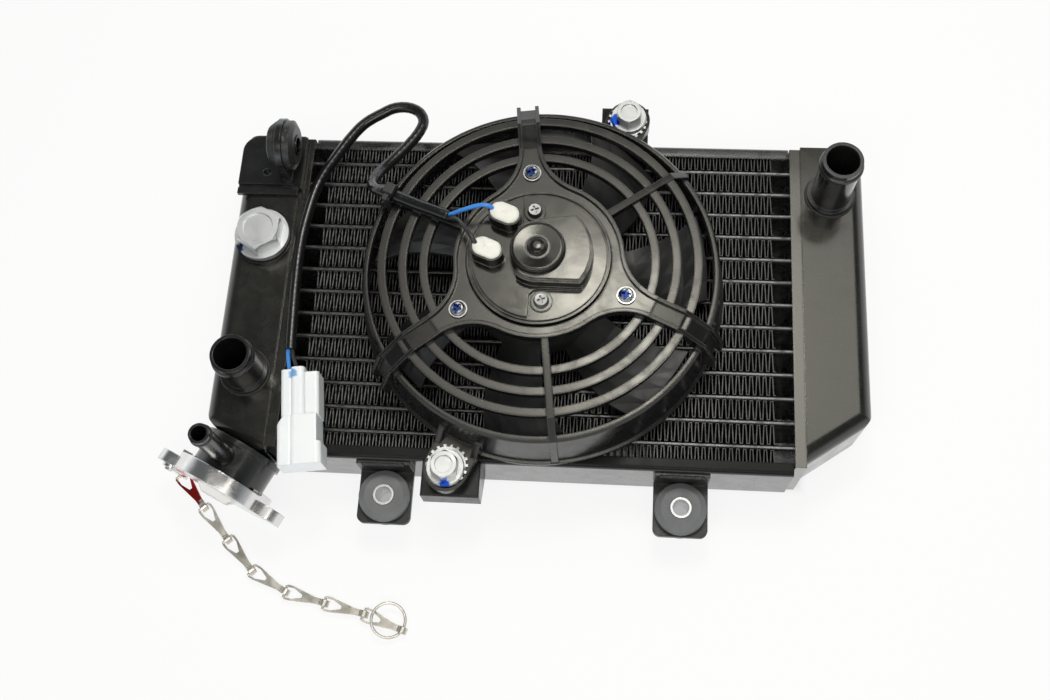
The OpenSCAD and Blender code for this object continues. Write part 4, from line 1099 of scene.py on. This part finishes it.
@dataclass
class Wiring:
    """Two leads in a sleeve, from the motor's terminals to the connector.

    Attributes:
        palette: Materials.
        sleeve_r_mm: Outside radius of the sleeve.
        lead_r_mm: Radius of a lead.
        lead_gap_mm: Half the gap between the leads.
        route_mm: Route of the sleeve.
        leads: Both leads.
        mouth: Share by which the sleeve draws in at its ends.
        mouth_run: Samples over which it does.
        crease: Share by which creases change its girth.
        crease_turn: Angle of the creases from sample to sample.
        steps: Samples between two places of a route.
        tool: Tree that sweeps a cord.
    """

    palette: Palette
    sleeve_r_mm: float = 2.3
    lead_r_mm: float = 0.85
    lead_gap_mm: float = 0.04
    route_mm: tuple[Point, ...] = (
        (-35.5, 17.5, 68.7), (-42, 20.2, 68), (-49, 23.1, 67), (-59, 27.4, 66.2), (-62.9, 29.1, 65.4),
        (-66.6, 31.6, 62.4), (-69.2, 36, 57.8), (-69.9, 41.5, 53), (-68.1, 47, 49.6), (-64.7, 52.3, 47.8),
        (-59.5, 59.5, 46.7), (-55.2, 66.4, 46.1), (-53.3, 72.5, 45.7), (-55.4, 77.4, 45.3),
        (-60.2, 79.9, 45), (-65.9, 79.9, 44.7), (-71.2, 77.6, 44.2), (-80.5, 71.2, 43.1), (-90, 57.4, 41.5),
        (-96.8, 44.5, 40), (-100.2, 28.4, 39), (-101.4, 14.8, 38.5), (-101.1, -3, 38.4),
        (-100.2, -20.8, 38.4), (-99.6, -29.5, 38.5),
    )
    leads: tuple[Lead, ...] = (
        Lead(
            "blue_lead_wire", "blue_lead", "blue_wire", BLUE_WIRE, 1,
            ((-17.2, 18.2, 73.8), (-19, 18.8, 75.5), (-21.8, 19, 75.7), (-25.8, 18.8, 74.2),
             (-30.4, 18.5, 71.5)),
            ((-99.7, -33.5, 39.6), (-98.5, -37.4, 41.2), (-97.5, -42, 42)),
        ),
        Lead(
            "black_lead_wire", "black_lead", "guard_plastic", BLACK_WIRE, -1,
            ((-22.6, 3, 73.8), (-24.4, 4.9, 75.5), (-26.2, 7.6, 75.5), (-28.8, 11.4, 74),
             (-31.6, 14.8, 71.6)),
            ((-97.5, -33.5, 39.6), (-95.6, -37.2, 41.2), (-94.2, -41.7, 42)),
        ),
    )
    mouth: float = 0.06
    mouth_run: float = 1.5
    crease: float = 0.012
    crease_turn: float = 1.9
    steps: int = 8
    tool: NodeTool = field(default_factory=cord_tool)

    def build(self, nodes: dict[str, bpy.types.Object]) -> None:
        """Args:
            nodes: Objects of the frame, for the connector halves.
        """
        route = metres(self.route_mm)
        housing = [nodes["connector_plug"], nodes["connector_socket"]]
        self.sleeve(route)
        for lead in self.leads:
            self.lead(lead, route, housing)

    def sleeve(self, route: list[Vector]) -> None:
        """Sleeve with a gathered mouth and slight creases in its bends.

        Args:
            route: Places along the sleeve.
        """
        path = smooth_path(route, self.steps)
        last = len(path) - 1
        girth = []
        for i in range(last + 1):
            drawn = self.mouth * math.exp(-min(i, last - i) / self.mouth_run)
            girth.append(1.0 + self.crease * math.sin(i * self.crease_turn) - drawn)
        piece = self.tool.run(
            "wiring_sleeve",
            line_mesh("sleeve_line", path, girth),
            {"Radius": self.sleeve_r_mm * MM, "Material": self.palette.get(SLEEVE)},
        )
        self.declare(piece, "harness_sleeve", "guard_plastic", path, self.sleeve_r_mm, "object", [])

    def lead(self, lead: Lead, route: list[Vector], ends: list[bpy.types.Object]) -> None:
        """Makes one lead from its terminal, through the sleeve, to the connector.

        Args:
            lead: The lead.
            route: Places along the sleeve.
            ends: Connector pieces that hang on it.
        """
        middle = beside(route, lead.side * (self.lead_r_mm + self.lead_gap_mm) * MM)
        path = smooth_path(metres(lead.start_mm) + middle + metres(lead.end_mm), self.steps)
        piece = self.tool.run(
            lead.name,
            line_mesh(f"{lead.name}_route", path),
            {"Radius": self.lead_r_mm * MM, "Material": self.palette.get(lead.finish)},
        )
        self.declare(piece, lead.node, lead.slot, path, self.lead_r_mm, "connector", ends)

    @staticmethod
    def declare(
        piece: bpy.types.Object,
        node: str,
        slot: str,
        path: list[Vector],
        radius_mm: float,
        far_end: str,
        ends: list[bpy.types.Object],
    ) -> None:
        """Puts a cord on the radiator's body, hides its solid and logs its length.

        Args:
            piece: The cord.
            node: Solid that it stands for.
            slot: Material slot of the record.
            path: Its centreline.
            radius_mm: Its radius.
            far_end: Not used.
            ends: Not used.
        """
        install(piece, slot, node)
        2 * radius_mm * MM
        LOG.info("cord %s, %.0f mm long", piece.name, path_length(path) / MM)


@dataclass
class CapSpring:
    """Coil between the cap and its valve, which closes up as the valve lifts.

    Attributes:
        palette: Materials.
        mouth_mm: Middle of the mouth that the cap closes.
        lean_deg: Lean of the cap's axis from the height of the core.
        coil_r_mm: Radius of the coil, to the middle of the wire.
        wire_r_mm: Radius of the wire.
        ends_mm: Height of the wire's ends along the axis, from the mouth.
        turns: Turns of the coil.
        steps: Points in a turn.
        tool: Tree that sweeps the wire.
    """

    palette: Palette
    mouth_mm: Point = (-125.615, -82.419, 20.5)
    lean_deg: float = 26.0
    coil_r_mm: float = 7.5
    wire_r_mm: float = 0.6
    ends_mm: tuple[float, float] = (-8.2, 1.1)
    turns: int = 4
    steps: int = 16
    tool: NodeTool = field(default_factory=cord_tool)

    def build(self) -> None:
        """Winds the coil, with one end on the valve and the other on the cap."""
        upright = Matrix.Rotation(math.radians(90.0), 4, "X")
        axes = Matrix.Rotation(math.radians(-self.lean_deg), 4, "Z") @ upright
        frame = Matrix.Translation(self.mouth_mm) @ axes
        low, high = self.ends_mm
        last = self.turns * self.steps
        line = []
        for k in range(last + 1):
            angle = math.tau * k / self.steps
            rise = low + (high - low) * k / last
            spot = (self.coil_r_mm * math.cos(angle), self.coil_r_mm * math.sin(angle), rise)
            line.append(frame @ Vector(spot) * MM)
        piece = self.tool.run(
            "cap_spring_coil",
            line_mesh("spring_line", line),
            {"Radius": self.wire_r_mm * MM, "Material": self.palette.get(STEEL)},
        )
        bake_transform(piece)
        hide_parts("cap_spring")
        LOG.info("piece %s", piece.name)


@dataclass
class Terminals:
    """White compound that seals the two soldered terminals.

    Attributes:
        palette: Materials.
        places_mm: Middles of the tubs about the fan's axis.
        turn_deg: Heading of the long side of a tub.
        radius_mm: Radius of the rounded ends.
        half_mm: Half the distance between those ends.
        floor_mm: Floor of the tubs.
        rim_mm: Height of the compound at the tub's wall.
        crown_mm: Rise in the middle.
        steepness: Power by which the crown rises from the wall.
        flat: Share of a ring that is left flat in the middle.
        ripple_mm: Height of the ripples round the middle.
        ripple_turn: Angle of the ripples from point to point.
        tub_turn: Angle of the ripples from tub to tub.
        lump_mm: Height of the lumps over the whole top.
        lump_turn: Angle of the lumps for each millimetre along the tub.
        rings: Rings of points from the wall to the middle.
        around: Points in a ring.
    """

    palette: Palette
    places_mm: tuple[tuple[float, float], ...] = ((-13.5, 14.9), (-19.4, -0.1))
    turn_deg: float = -22.0
    radius_mm: float = 3.85
    half_mm: float = 2.0
    floor_mm: float = 68.0
    rim_mm: float = 74.2
    crown_mm: float = 0.9
    steepness: int = 3
    flat: float = 0.6
    ripple_mm: float = 0.12
    ripple_turn: float = 0.3875
    tub_turn: float = 2.0
    lump_mm: float = 0.1
    lump_turn: float = 1.3
    rings: int = 8
    around: int = 48

    def outline(self, share: float) -> list[tuple[float, float]]:
        """Oval with straight sides, shrunk towards its middle.

        Args:
            share: 1 at the wall and 0 in the middle.

        Returns:
            Points in the tub's own axes, in millimetres.
        """
        points = []
        for k in range(self.around):
            a = math.tau * k / self.around
            shift = self.half_mm if math.cos(a) > 0 else -self.half_mm
            x, y = shift + self.radius_mm * math.cos(a), self.radius_mm * math.sin(a)
            points.append((share * x, share * y))
        return points

    def build(self) -> None:
        """Makes both fillings as one piece."""

        def fill(shape: bmesh.types.BMesh) -> None:
            """Adds both domes."""
            for number, place in enumerate(self.places_mm):
                self.dome(shape, place, number)

        piece = add_object("terminal_sealant", mesh_from("terminal_sealant", fill))
        piece.data.materials.append(self.palette.get(SEALANT))
        install(piece, "white_plastic", "terminal_potting")

    def dome(self, shape: bmesh.types.BMesh, place: tuple[float, float], number: int) -> None:
        """Adds one filling with a crowned, slightly uneven top.

        Args:
            shape: Mesh that grows.
            place: Middle of the tub about the fan's axis.
            number: Which tub, which sets the unevenness.
        """
        turn = Matrix.Rotation(math.radians(self.turn_deg), 3, "Z")
        middle = Vector((FAN_MM[0] + place[0], FAN_MM[1] + place[1], 0))

        def point(x: float, y: float, height: float) -> bmesh.types.BMVert:
            """Adds a point given in the tub's own axes."""
            return shape.verts.new((middle + turn @ Vector((x, y, 0)) + Vector((0, 0, height))) * MM)

        base = [point(x, y, self.floor_mm) for x, y in self.outline(1.0)]
        loops = [base]
        for level in range(self.rings + 1):
            share = 1 - level / (self.rings + self.flat)
            rise = self.rim_mm + self.crown_mm * math.sqrt(max(0.0, 1 - share**self.steepness))
            ring = []
            for k, (x, y) in enumerate(self.outline(share)):
                angle = self.ripple_turn * k + number * self.tub_turn
                ripple = self.ripple_mm * math.sin(angle) * (1 - share)
                lump = self.lump_mm * math.sin(x * self.lump_turn + y + number)
                ring.append(point(x, y, rise + ripple + lump))
            loops.append(ring)
        skin(shape, loops)
        shape.faces.new(loops[-1])
        shape.faces.new(list(reversed(base)))


@dataclass
class CableTie:
    """Strap that holds the sleeve on a rib of the guard, with its lock and cut tail.

    Attributes:
        palette: Materials.
        angle_deg: Direction of the rib from the fan's axis.
        radius_mm: Distance of the strap from the axis.
        width_mm: Width of the strap.
        thick_mm: Thickness of the strap.
        low_mm: Outside of the strap below the rib.
        high_mm: Outside of the strap above the sleeve.
        half_mm: Half the distance over the strap's sides.
        corner_mm: Rounding of its corners.
        least_corner_mm: Smallest rounding on the inside.
        corner_steps: Steps round a corner.
        lock_mm: Corners and rounding of the lock, with heights above the strap.
        tail_mm: The same for the cut tail.
    """

    palette: Palette
    angle_deg: float = 157.0
    radius_mm: float = 63.6
    width_mm: float = 2.6
    thick_mm: float = 1.0
    low_mm: float = 55.6
    high_mm: float = 70.0
    half_mm: float = 3.8
    corner_mm: float = 2.2
    least_corner_mm: float = 0.4
    corner_steps: int = 6
    lock_mm: tuple[Point, Point, float] = ((-0.8, -2.4, -0.4), (3.4, 2.4, 2.2), 0.5)
    tail_mm: tuple[Point, Point, float] = ((0.2, 2.2, 0.3), (2.4, 5.2, 1.3), 0.25)

    def loop(self, inset: float) -> list[tuple[float, float]]:
        """Rounded rectangle across the rib.

        Args:
            inset: Distance inside the strap's outer face.

        Returns:
            Points as sideways place and height, in millimetres.
        """
        half, low, high = self.half_mm - inset, self.low_mm + inset, self.high_mm - inset
        corner = max(self.corner_mm - inset, self.least_corner_mm)
        points = []
        for k, (sx, sz) in enumerate(((1, 1), (-1, 1), (-1, -1), (1, -1))):
            cx, cz = sx * (half - corner), (high if sz > 0 else low) - sz * corner
            for step in range(self.corner_steps + 1):
                a = math.radians(90 * (k + step / self.corner_steps))
                points.append((cx + corner * math.cos(a), cz + corner * math.sin(a)))
        return points

    def build(self) -> None:
        """Makes the strap, its lock and its tail."""

        def strap(shape: bmesh.types.BMesh) -> None:
            """Adds the closed strap and the parts of the lock."""
            frame = self.frame()
            rings = []
            thick, wide = self.thick_mm, self.width_mm
            for inset, x in ((0.0, 0.0), (0.0, wide), (thick, wide), (thick, 0.0)):
                rings.append([shape.verts.new(frame @ Vector((x, y, z)) * MM) for y, z in self.loop(inset)])
            skin(shape, rings + rings[:1])
            on_top = frame @ Matrix.Translation((0, 0, self.high_mm))
            for low, high, bevel in (self.lock_mm, self.tail_mm):
                self.block(shape, on_top, low, high, bevel)

        piece = add_object("sleeve_tie", mesh_from("sleeve_tie", strap, smooth=False))
        piece.data.materials.append(self.palette.get(TIE_PLASTIC))
        install(piece, "guard_plastic", "cable_tie")

    def frame(self) -> Matrix:
        """Places the strap's axes on the rib, x outward along it."""
        turn = Matrix.Rotation(math.radians(self.angle_deg), 4, "Z")
        outward = Matrix.Translation((self.radius_mm, 0, 0))
        return Matrix.Translation((*FAN_MM, 0)) @ turn @ outward

    @staticmethod
    def block(shape: bmesh.types.BMesh, frame: Matrix, low: Point, high: Point, bevel: float) -> None:
        """Adds a block with rounded edges.

        Args:
            shape: Mesh that grows.
            frame: Axes of the block.
            low: Lowest corner in millimetres.
            high: Highest corner in millimetres.
            bevel: Rounding of the edges.
        """
        (x0, y0, z0), (x1, y1, z1) = low, high
        corners = [Vector((x, y, z)) for x in (x0, x1) for y in (y0, y1) for z in (z0, z1)]
        verts = [shape.verts.new(frame @ c * MM) for c in corners]
        sides = ((0, 1, 3, 2), (4, 6, 7, 5), (0, 4, 5, 1), (2, 3, 7, 6), (0, 2, 6, 4), (1, 5, 7, 3))
        faces = [shape.faces.new([verts[i] for i in side]) for side in sides]
        edges = {edge for face in faces for edge in face.edges}
        bmesh.ops.bevel(
            shape, geom=list(edges), offset=bevel * MM, segments=BLOCK_SEGMENTS, affect="EDGES",
            profile=BLOCK_PROFILE,
        )


@dataclass
class Welds:
    """Beads where pipes and brackets are welded on.

    Attributes:
        palette: Materials.
        pipes_mm: Feet of the hose pipes and the radius of each bead.
        lines_mm: Straight beads from point to point.
        radius_mm: Radius of a drop.
        pitch_mm: Distance from drop to drop.
        ring_steps: Points in the line of a round bead.
        line_seed: Seed of the first straight bead.
        tool: Tree that lays a bead.
    """

    palette: Palette
    pipes_mm: tuple[tuple[Point, float], ...] = (((117.5, 47.5, 36.0), 9.7), ((-117.5, -38.8, 36.0), 9.7))
    lines_mm: tuple[tuple[Point, Point], ...] = (
        ((-67.0, -73.1, 29.6), (-51.0, -73.1, 29.6)),
        ((51.0, -73.1, 29.6), (67.0, -73.1, 29.6)),
        ((-111.9, 47.6, 38.5), (-111.9, 67.0, 38.5)),
        ((-109.1, 47.6, 38.5), (-109.1, 67.0, 38.5)),
    )
    radius_mm: float = 0.75
    pitch_mm: float = 0.9
    ring_steps: int = 72
    line_seed: int = 10
    tool: NodeTool = field(default_factory=bead_tool)

    def build(self) -> None:
        """Lays every bead."""
        for number, (foot, radius) in enumerate(self.pipes_mm):
            turns = [math.tau * k / self.ring_steps for k in range(self.ring_steps + 1)]
            ring = metres(offset(foot, radius * math.cos(a), radius * math.sin(a)) for a in turns)
            self.bead(f"pipe_weld_{number + 1}", ring, number)
        for number, ends in enumerate(self.lines_mm):
            self.bead(f"bracket_weld_{number + 1}", metres(ends), self.line_seed + number)

    def bead(self, name: str, line: Sequence[Vector], seed: int) -> None:
        """Lays one bead.

        Args:
            name: Name of the piece.
            line: Line that it follows.
            seed: Seed of its unevenness.
        """
        values = {
            "Radius": self.radius_mm * MM,
            "Pitch": self.pitch_mm * MM,
            "Seed": seed,
            "Material": self.palette.get(BRACKET_PAINT),
        }
        piece = self.tool.run(name, line_mesh(f"{name}_line", line), values)
        install(piece, "black_paint")


# Studio


@dataclass(frozen=True)
class SoftLamp:
    """Rectangular lamp with an even glow.

    Attributes:
        name: Name of the lamp.
        place_mm: Where it hangs.
        size_mm: Width and depth.
        watts: Power.
        aim_mm: Place that it faces.
        colour: Colour of its light.
    """

    name: str
    place_mm: Point
    size_mm: tuple[float, float]
    watts: float
    aim_mm: Point = (0.0, 0.0, 30.0)
    colour: Colour = (1.0, 0.98, 0.92)


@dataclass
class Studio:
    """Camera, white sweep and soft light.

    Attributes:
        eye_mm: Place of the camera.
        right: Camera's right in the part's frame.
        up: Camera's up.
        back: Direction from the object to the camera.
        lamps: Soft lamps overhead.
        fill: Strength of the light from straight above and, low down, from the sides, from behind and from
            the front.
        fill_colour: Colour of that light.
        wall_heights: Sines of the elevations between which that light changes.
        wall_turns: Y of the headings where the light of the sides ends and where that from behind, or
            mirrored from the front, is full.
        floor_half_mm: Half the width of the floor.
        floor_drop_mm: Gap between the floor and the object.
        floor_colour: Colour of the floor.
        floor_white: Share of plain white in what is seen of the floor.
        covered_mm: Half width and half height of the floor beneath the core.
        covered_fade_mm: Width over which the floor turns dark there.
        shaded_mm: Middles of the soft shadows beneath the lower grommets.
        shaded_r_mm: Radii between which such a shadow fades.
        shaded_white: Share of the white that is left in its middle.
    """

    eye_mm: Point = (30.5, -186.76, 481.9)
    right: Point = (0.99661, 0.05831, -0.05796)
    up: Point = (-0.03497, 0.93867, 0.34304)
    back: Point = (0.07441, -0.33985, 0.93753)
    lamps: tuple[SoftLamp, ...] = (
        SoftLamp("soft_lamp", (120.0, 200.0, 640.0), (620.0, 380.0), 1.6, (120.0, 200.0, 0.0)),
        SoftLamp("front_lamp", (0.0, -330.0, 560.0), (520.0, 260.0), 1.6),
        SoftLamp("near_lamp", (30.0, 195.0, 640.0), (130.0, 130.0), 0.85),
    )
    fill: tuple[float, float, float, float] = (0.14, 0.3, 1.8, 1.6)
    fill_colour: Colour = (0.92, 0.97, 1.0)
    wall_heights: tuple[float, float] = (0.05, 0.6)
    wall_turns: tuple[float, float] = (-0.2, 0.9)
    floor_half_mm: float = 6000.0
    floor_drop_mm: float = 0.2
    floor_colour: Colour = grey(0.98)
    floor_white: float = 0.85
    covered_mm: tuple[float, float] = (112.0, 72.0)
    covered_fade_mm: float = 12.0
    shaded_mm: tuple[tuple[float, float], ...] = ((-62.8, -78.8), (60.4, -78.8))
    shaded_r_mm: tuple[float, float] = (2.5, 11.0)
    shaded_white: float = 0.35

    def build(self) -> None:
        """Makes camera, lamps, surroundings and floor."""
        self.camera()
        for soft in self.lamps:
            self.lamp(soft)
        self.world()
        self.floor()
        bpy.context.scene.view_settings.view_transform = "Standard"

    def camera(self) -> None:
        """Camera at the photograph's viewing angle."""
        data = bpy.data.cameras.new("camera")
        data.sensor_fit = "HORIZONTAL"
        data.sensor_width = SENSOR_MM
        data.lens = FOCAL_PX / IMAGE_WIDTH_PX * SENSOR_MM
        data.clip_start = NEAR_CLIP_M
        camera = bpy.data.objects.new("camera", data)
        axes = Matrix((self.right, self.up, self.back)).transposed().to_4x4()
        camera.matrix_world = Matrix.Translation(Vector(self.eye_mm) * MM) @ axes
        bpy.context.scene.collection.objects.link(camera)
        bpy.context.scene.camera = camera

    def lamp(self, soft: SoftLamp) -> None:
        """Hangs one lamp.

        Args:
            soft: Place, size and power of the lamp.
        """
        data = bpy.data.lights.new(soft.name, "AREA")
        data.shape = "RECTANGLE"
        data.size, data.size_y = (s * MM for s in soft.size_mm)
        data.energy = soft.watts
        data.color = soft.colour
        lamp = bpy.data.objects.new(soft.name, data)
        place = Vector(soft.place_mm)
        lamp.location = place * MM
        lamp.rotation_euler = (place - Vector(soft.aim_mm)).to_track_quat("Z", "Y").to_euler()
        bpy.context.scene.collection.objects.link(lamp)

    def world(self) -> None:
        """Light from all sides, brightest low down from behind and from the front."""
        world = bpy.data.worlds.new("studio")
        tree = ShaderTree(world)
        heading = tree.add("ShaderNodeTexCoord", output="Generated")
        low = 1 - tree.axis(heading, "Z").ramp(*self.wall_heights)
        start, end = self.wall_turns
        behind, before = (tree.axis(heading, "Y").ramp(start, stop) for stop in (end, -end))
        overhead, sideways, window, front = self.fill
        walls = behind * (window - sideways) + before * (front - sideways) + (sideways - overhead)
        strength = low * walls + overhead
        colour = (*self.fill_colour, 1.0)
        sky = tree.add("ShaderNodeBackground", inputs={"Color": colour, "Strength": strength})
        tree.add("ShaderNodeOutputWorld", inputs={"Surface": sky})
        bpy.context.scene.world = world

    def floor(self) -> None:
        """White floor that still takes the object's shadow and stays dark beneath the core."""

        def sheet(shape: bmesh.types.BMesh) -> None:
            """Adds one large square."""
            bmesh.ops.create_grid(shape, x_segments=1, y_segments=1, size=self.floor_half_mm * MM)

        floor = add_object("floor", mesh_from("floor", sheet, smooth=False))
        floor.location.z = -self.floor_drop_mm * MM
        material = bpy.data.materials.new("floor_white")
        tree = ShaderTree(material)
        seen = tree.add("ShaderNodeLightPath", output="Is Camera Ray")
        for name in ("Is Glossy Ray", "Is Transmission Ray"):
            seen = seen.math("MAXIMUM", seen, tree.add("ShaderNodeLightPath", output=name))
        open_floor: Term = 0.0
        for name, half in zip(("X", "Y"), self.covered_mm):
            away = tree.axis(tree.place(), name).absolute()
            bare = away.ramp((half - self.covered_fade_mm) * MM, half * MM)
            open_floor = seen.math("MAXIMUM", open_floor, bare)
        for x, y in self.shaded_mm:
            clear = tree.distance((x, y, 0.0)).ramp(*(r * MM for r in self.shaded_r_mm))
            open_floor = open_floor * (clear * (1 - self.shaded_white) + self.shaded_white)
        matt = tree.add("ShaderNodeBsdfDiffuse", inputs={"Color": (*self.floor_colour, 1.0)})
        glow = tree.add("ShaderNodeEmission", inputs={"Color": (1.0, 1.0, 1.0, 1.0)})
        share = seen * open_floor * self.floor_white
        mixed = tree.add("ShaderNodeMixShader", inputs={0: share, 1: matt, 2: glow})
        tree.add("ShaderNodeOutputMaterial", inputs={"Surface": mixed})
        floor.data.materials.append(material)


def main() -> None:
    """Loads the frame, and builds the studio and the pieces."""
    logging.basicConfig(level=logging.INFO, format="%(name)s: %(message)s")
    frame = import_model()
    palette = Palette()
    Studio().build()
    Wiring(palette).build(frame["nodes"])
    CapSpring(palette).build()
    Terminals(palette).build()
    CableTie(palette).build()
    Welds(palette).build()
    palette.dress_nodes(frame["nodes"])
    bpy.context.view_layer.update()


if __name__ == "__main__":
    main()
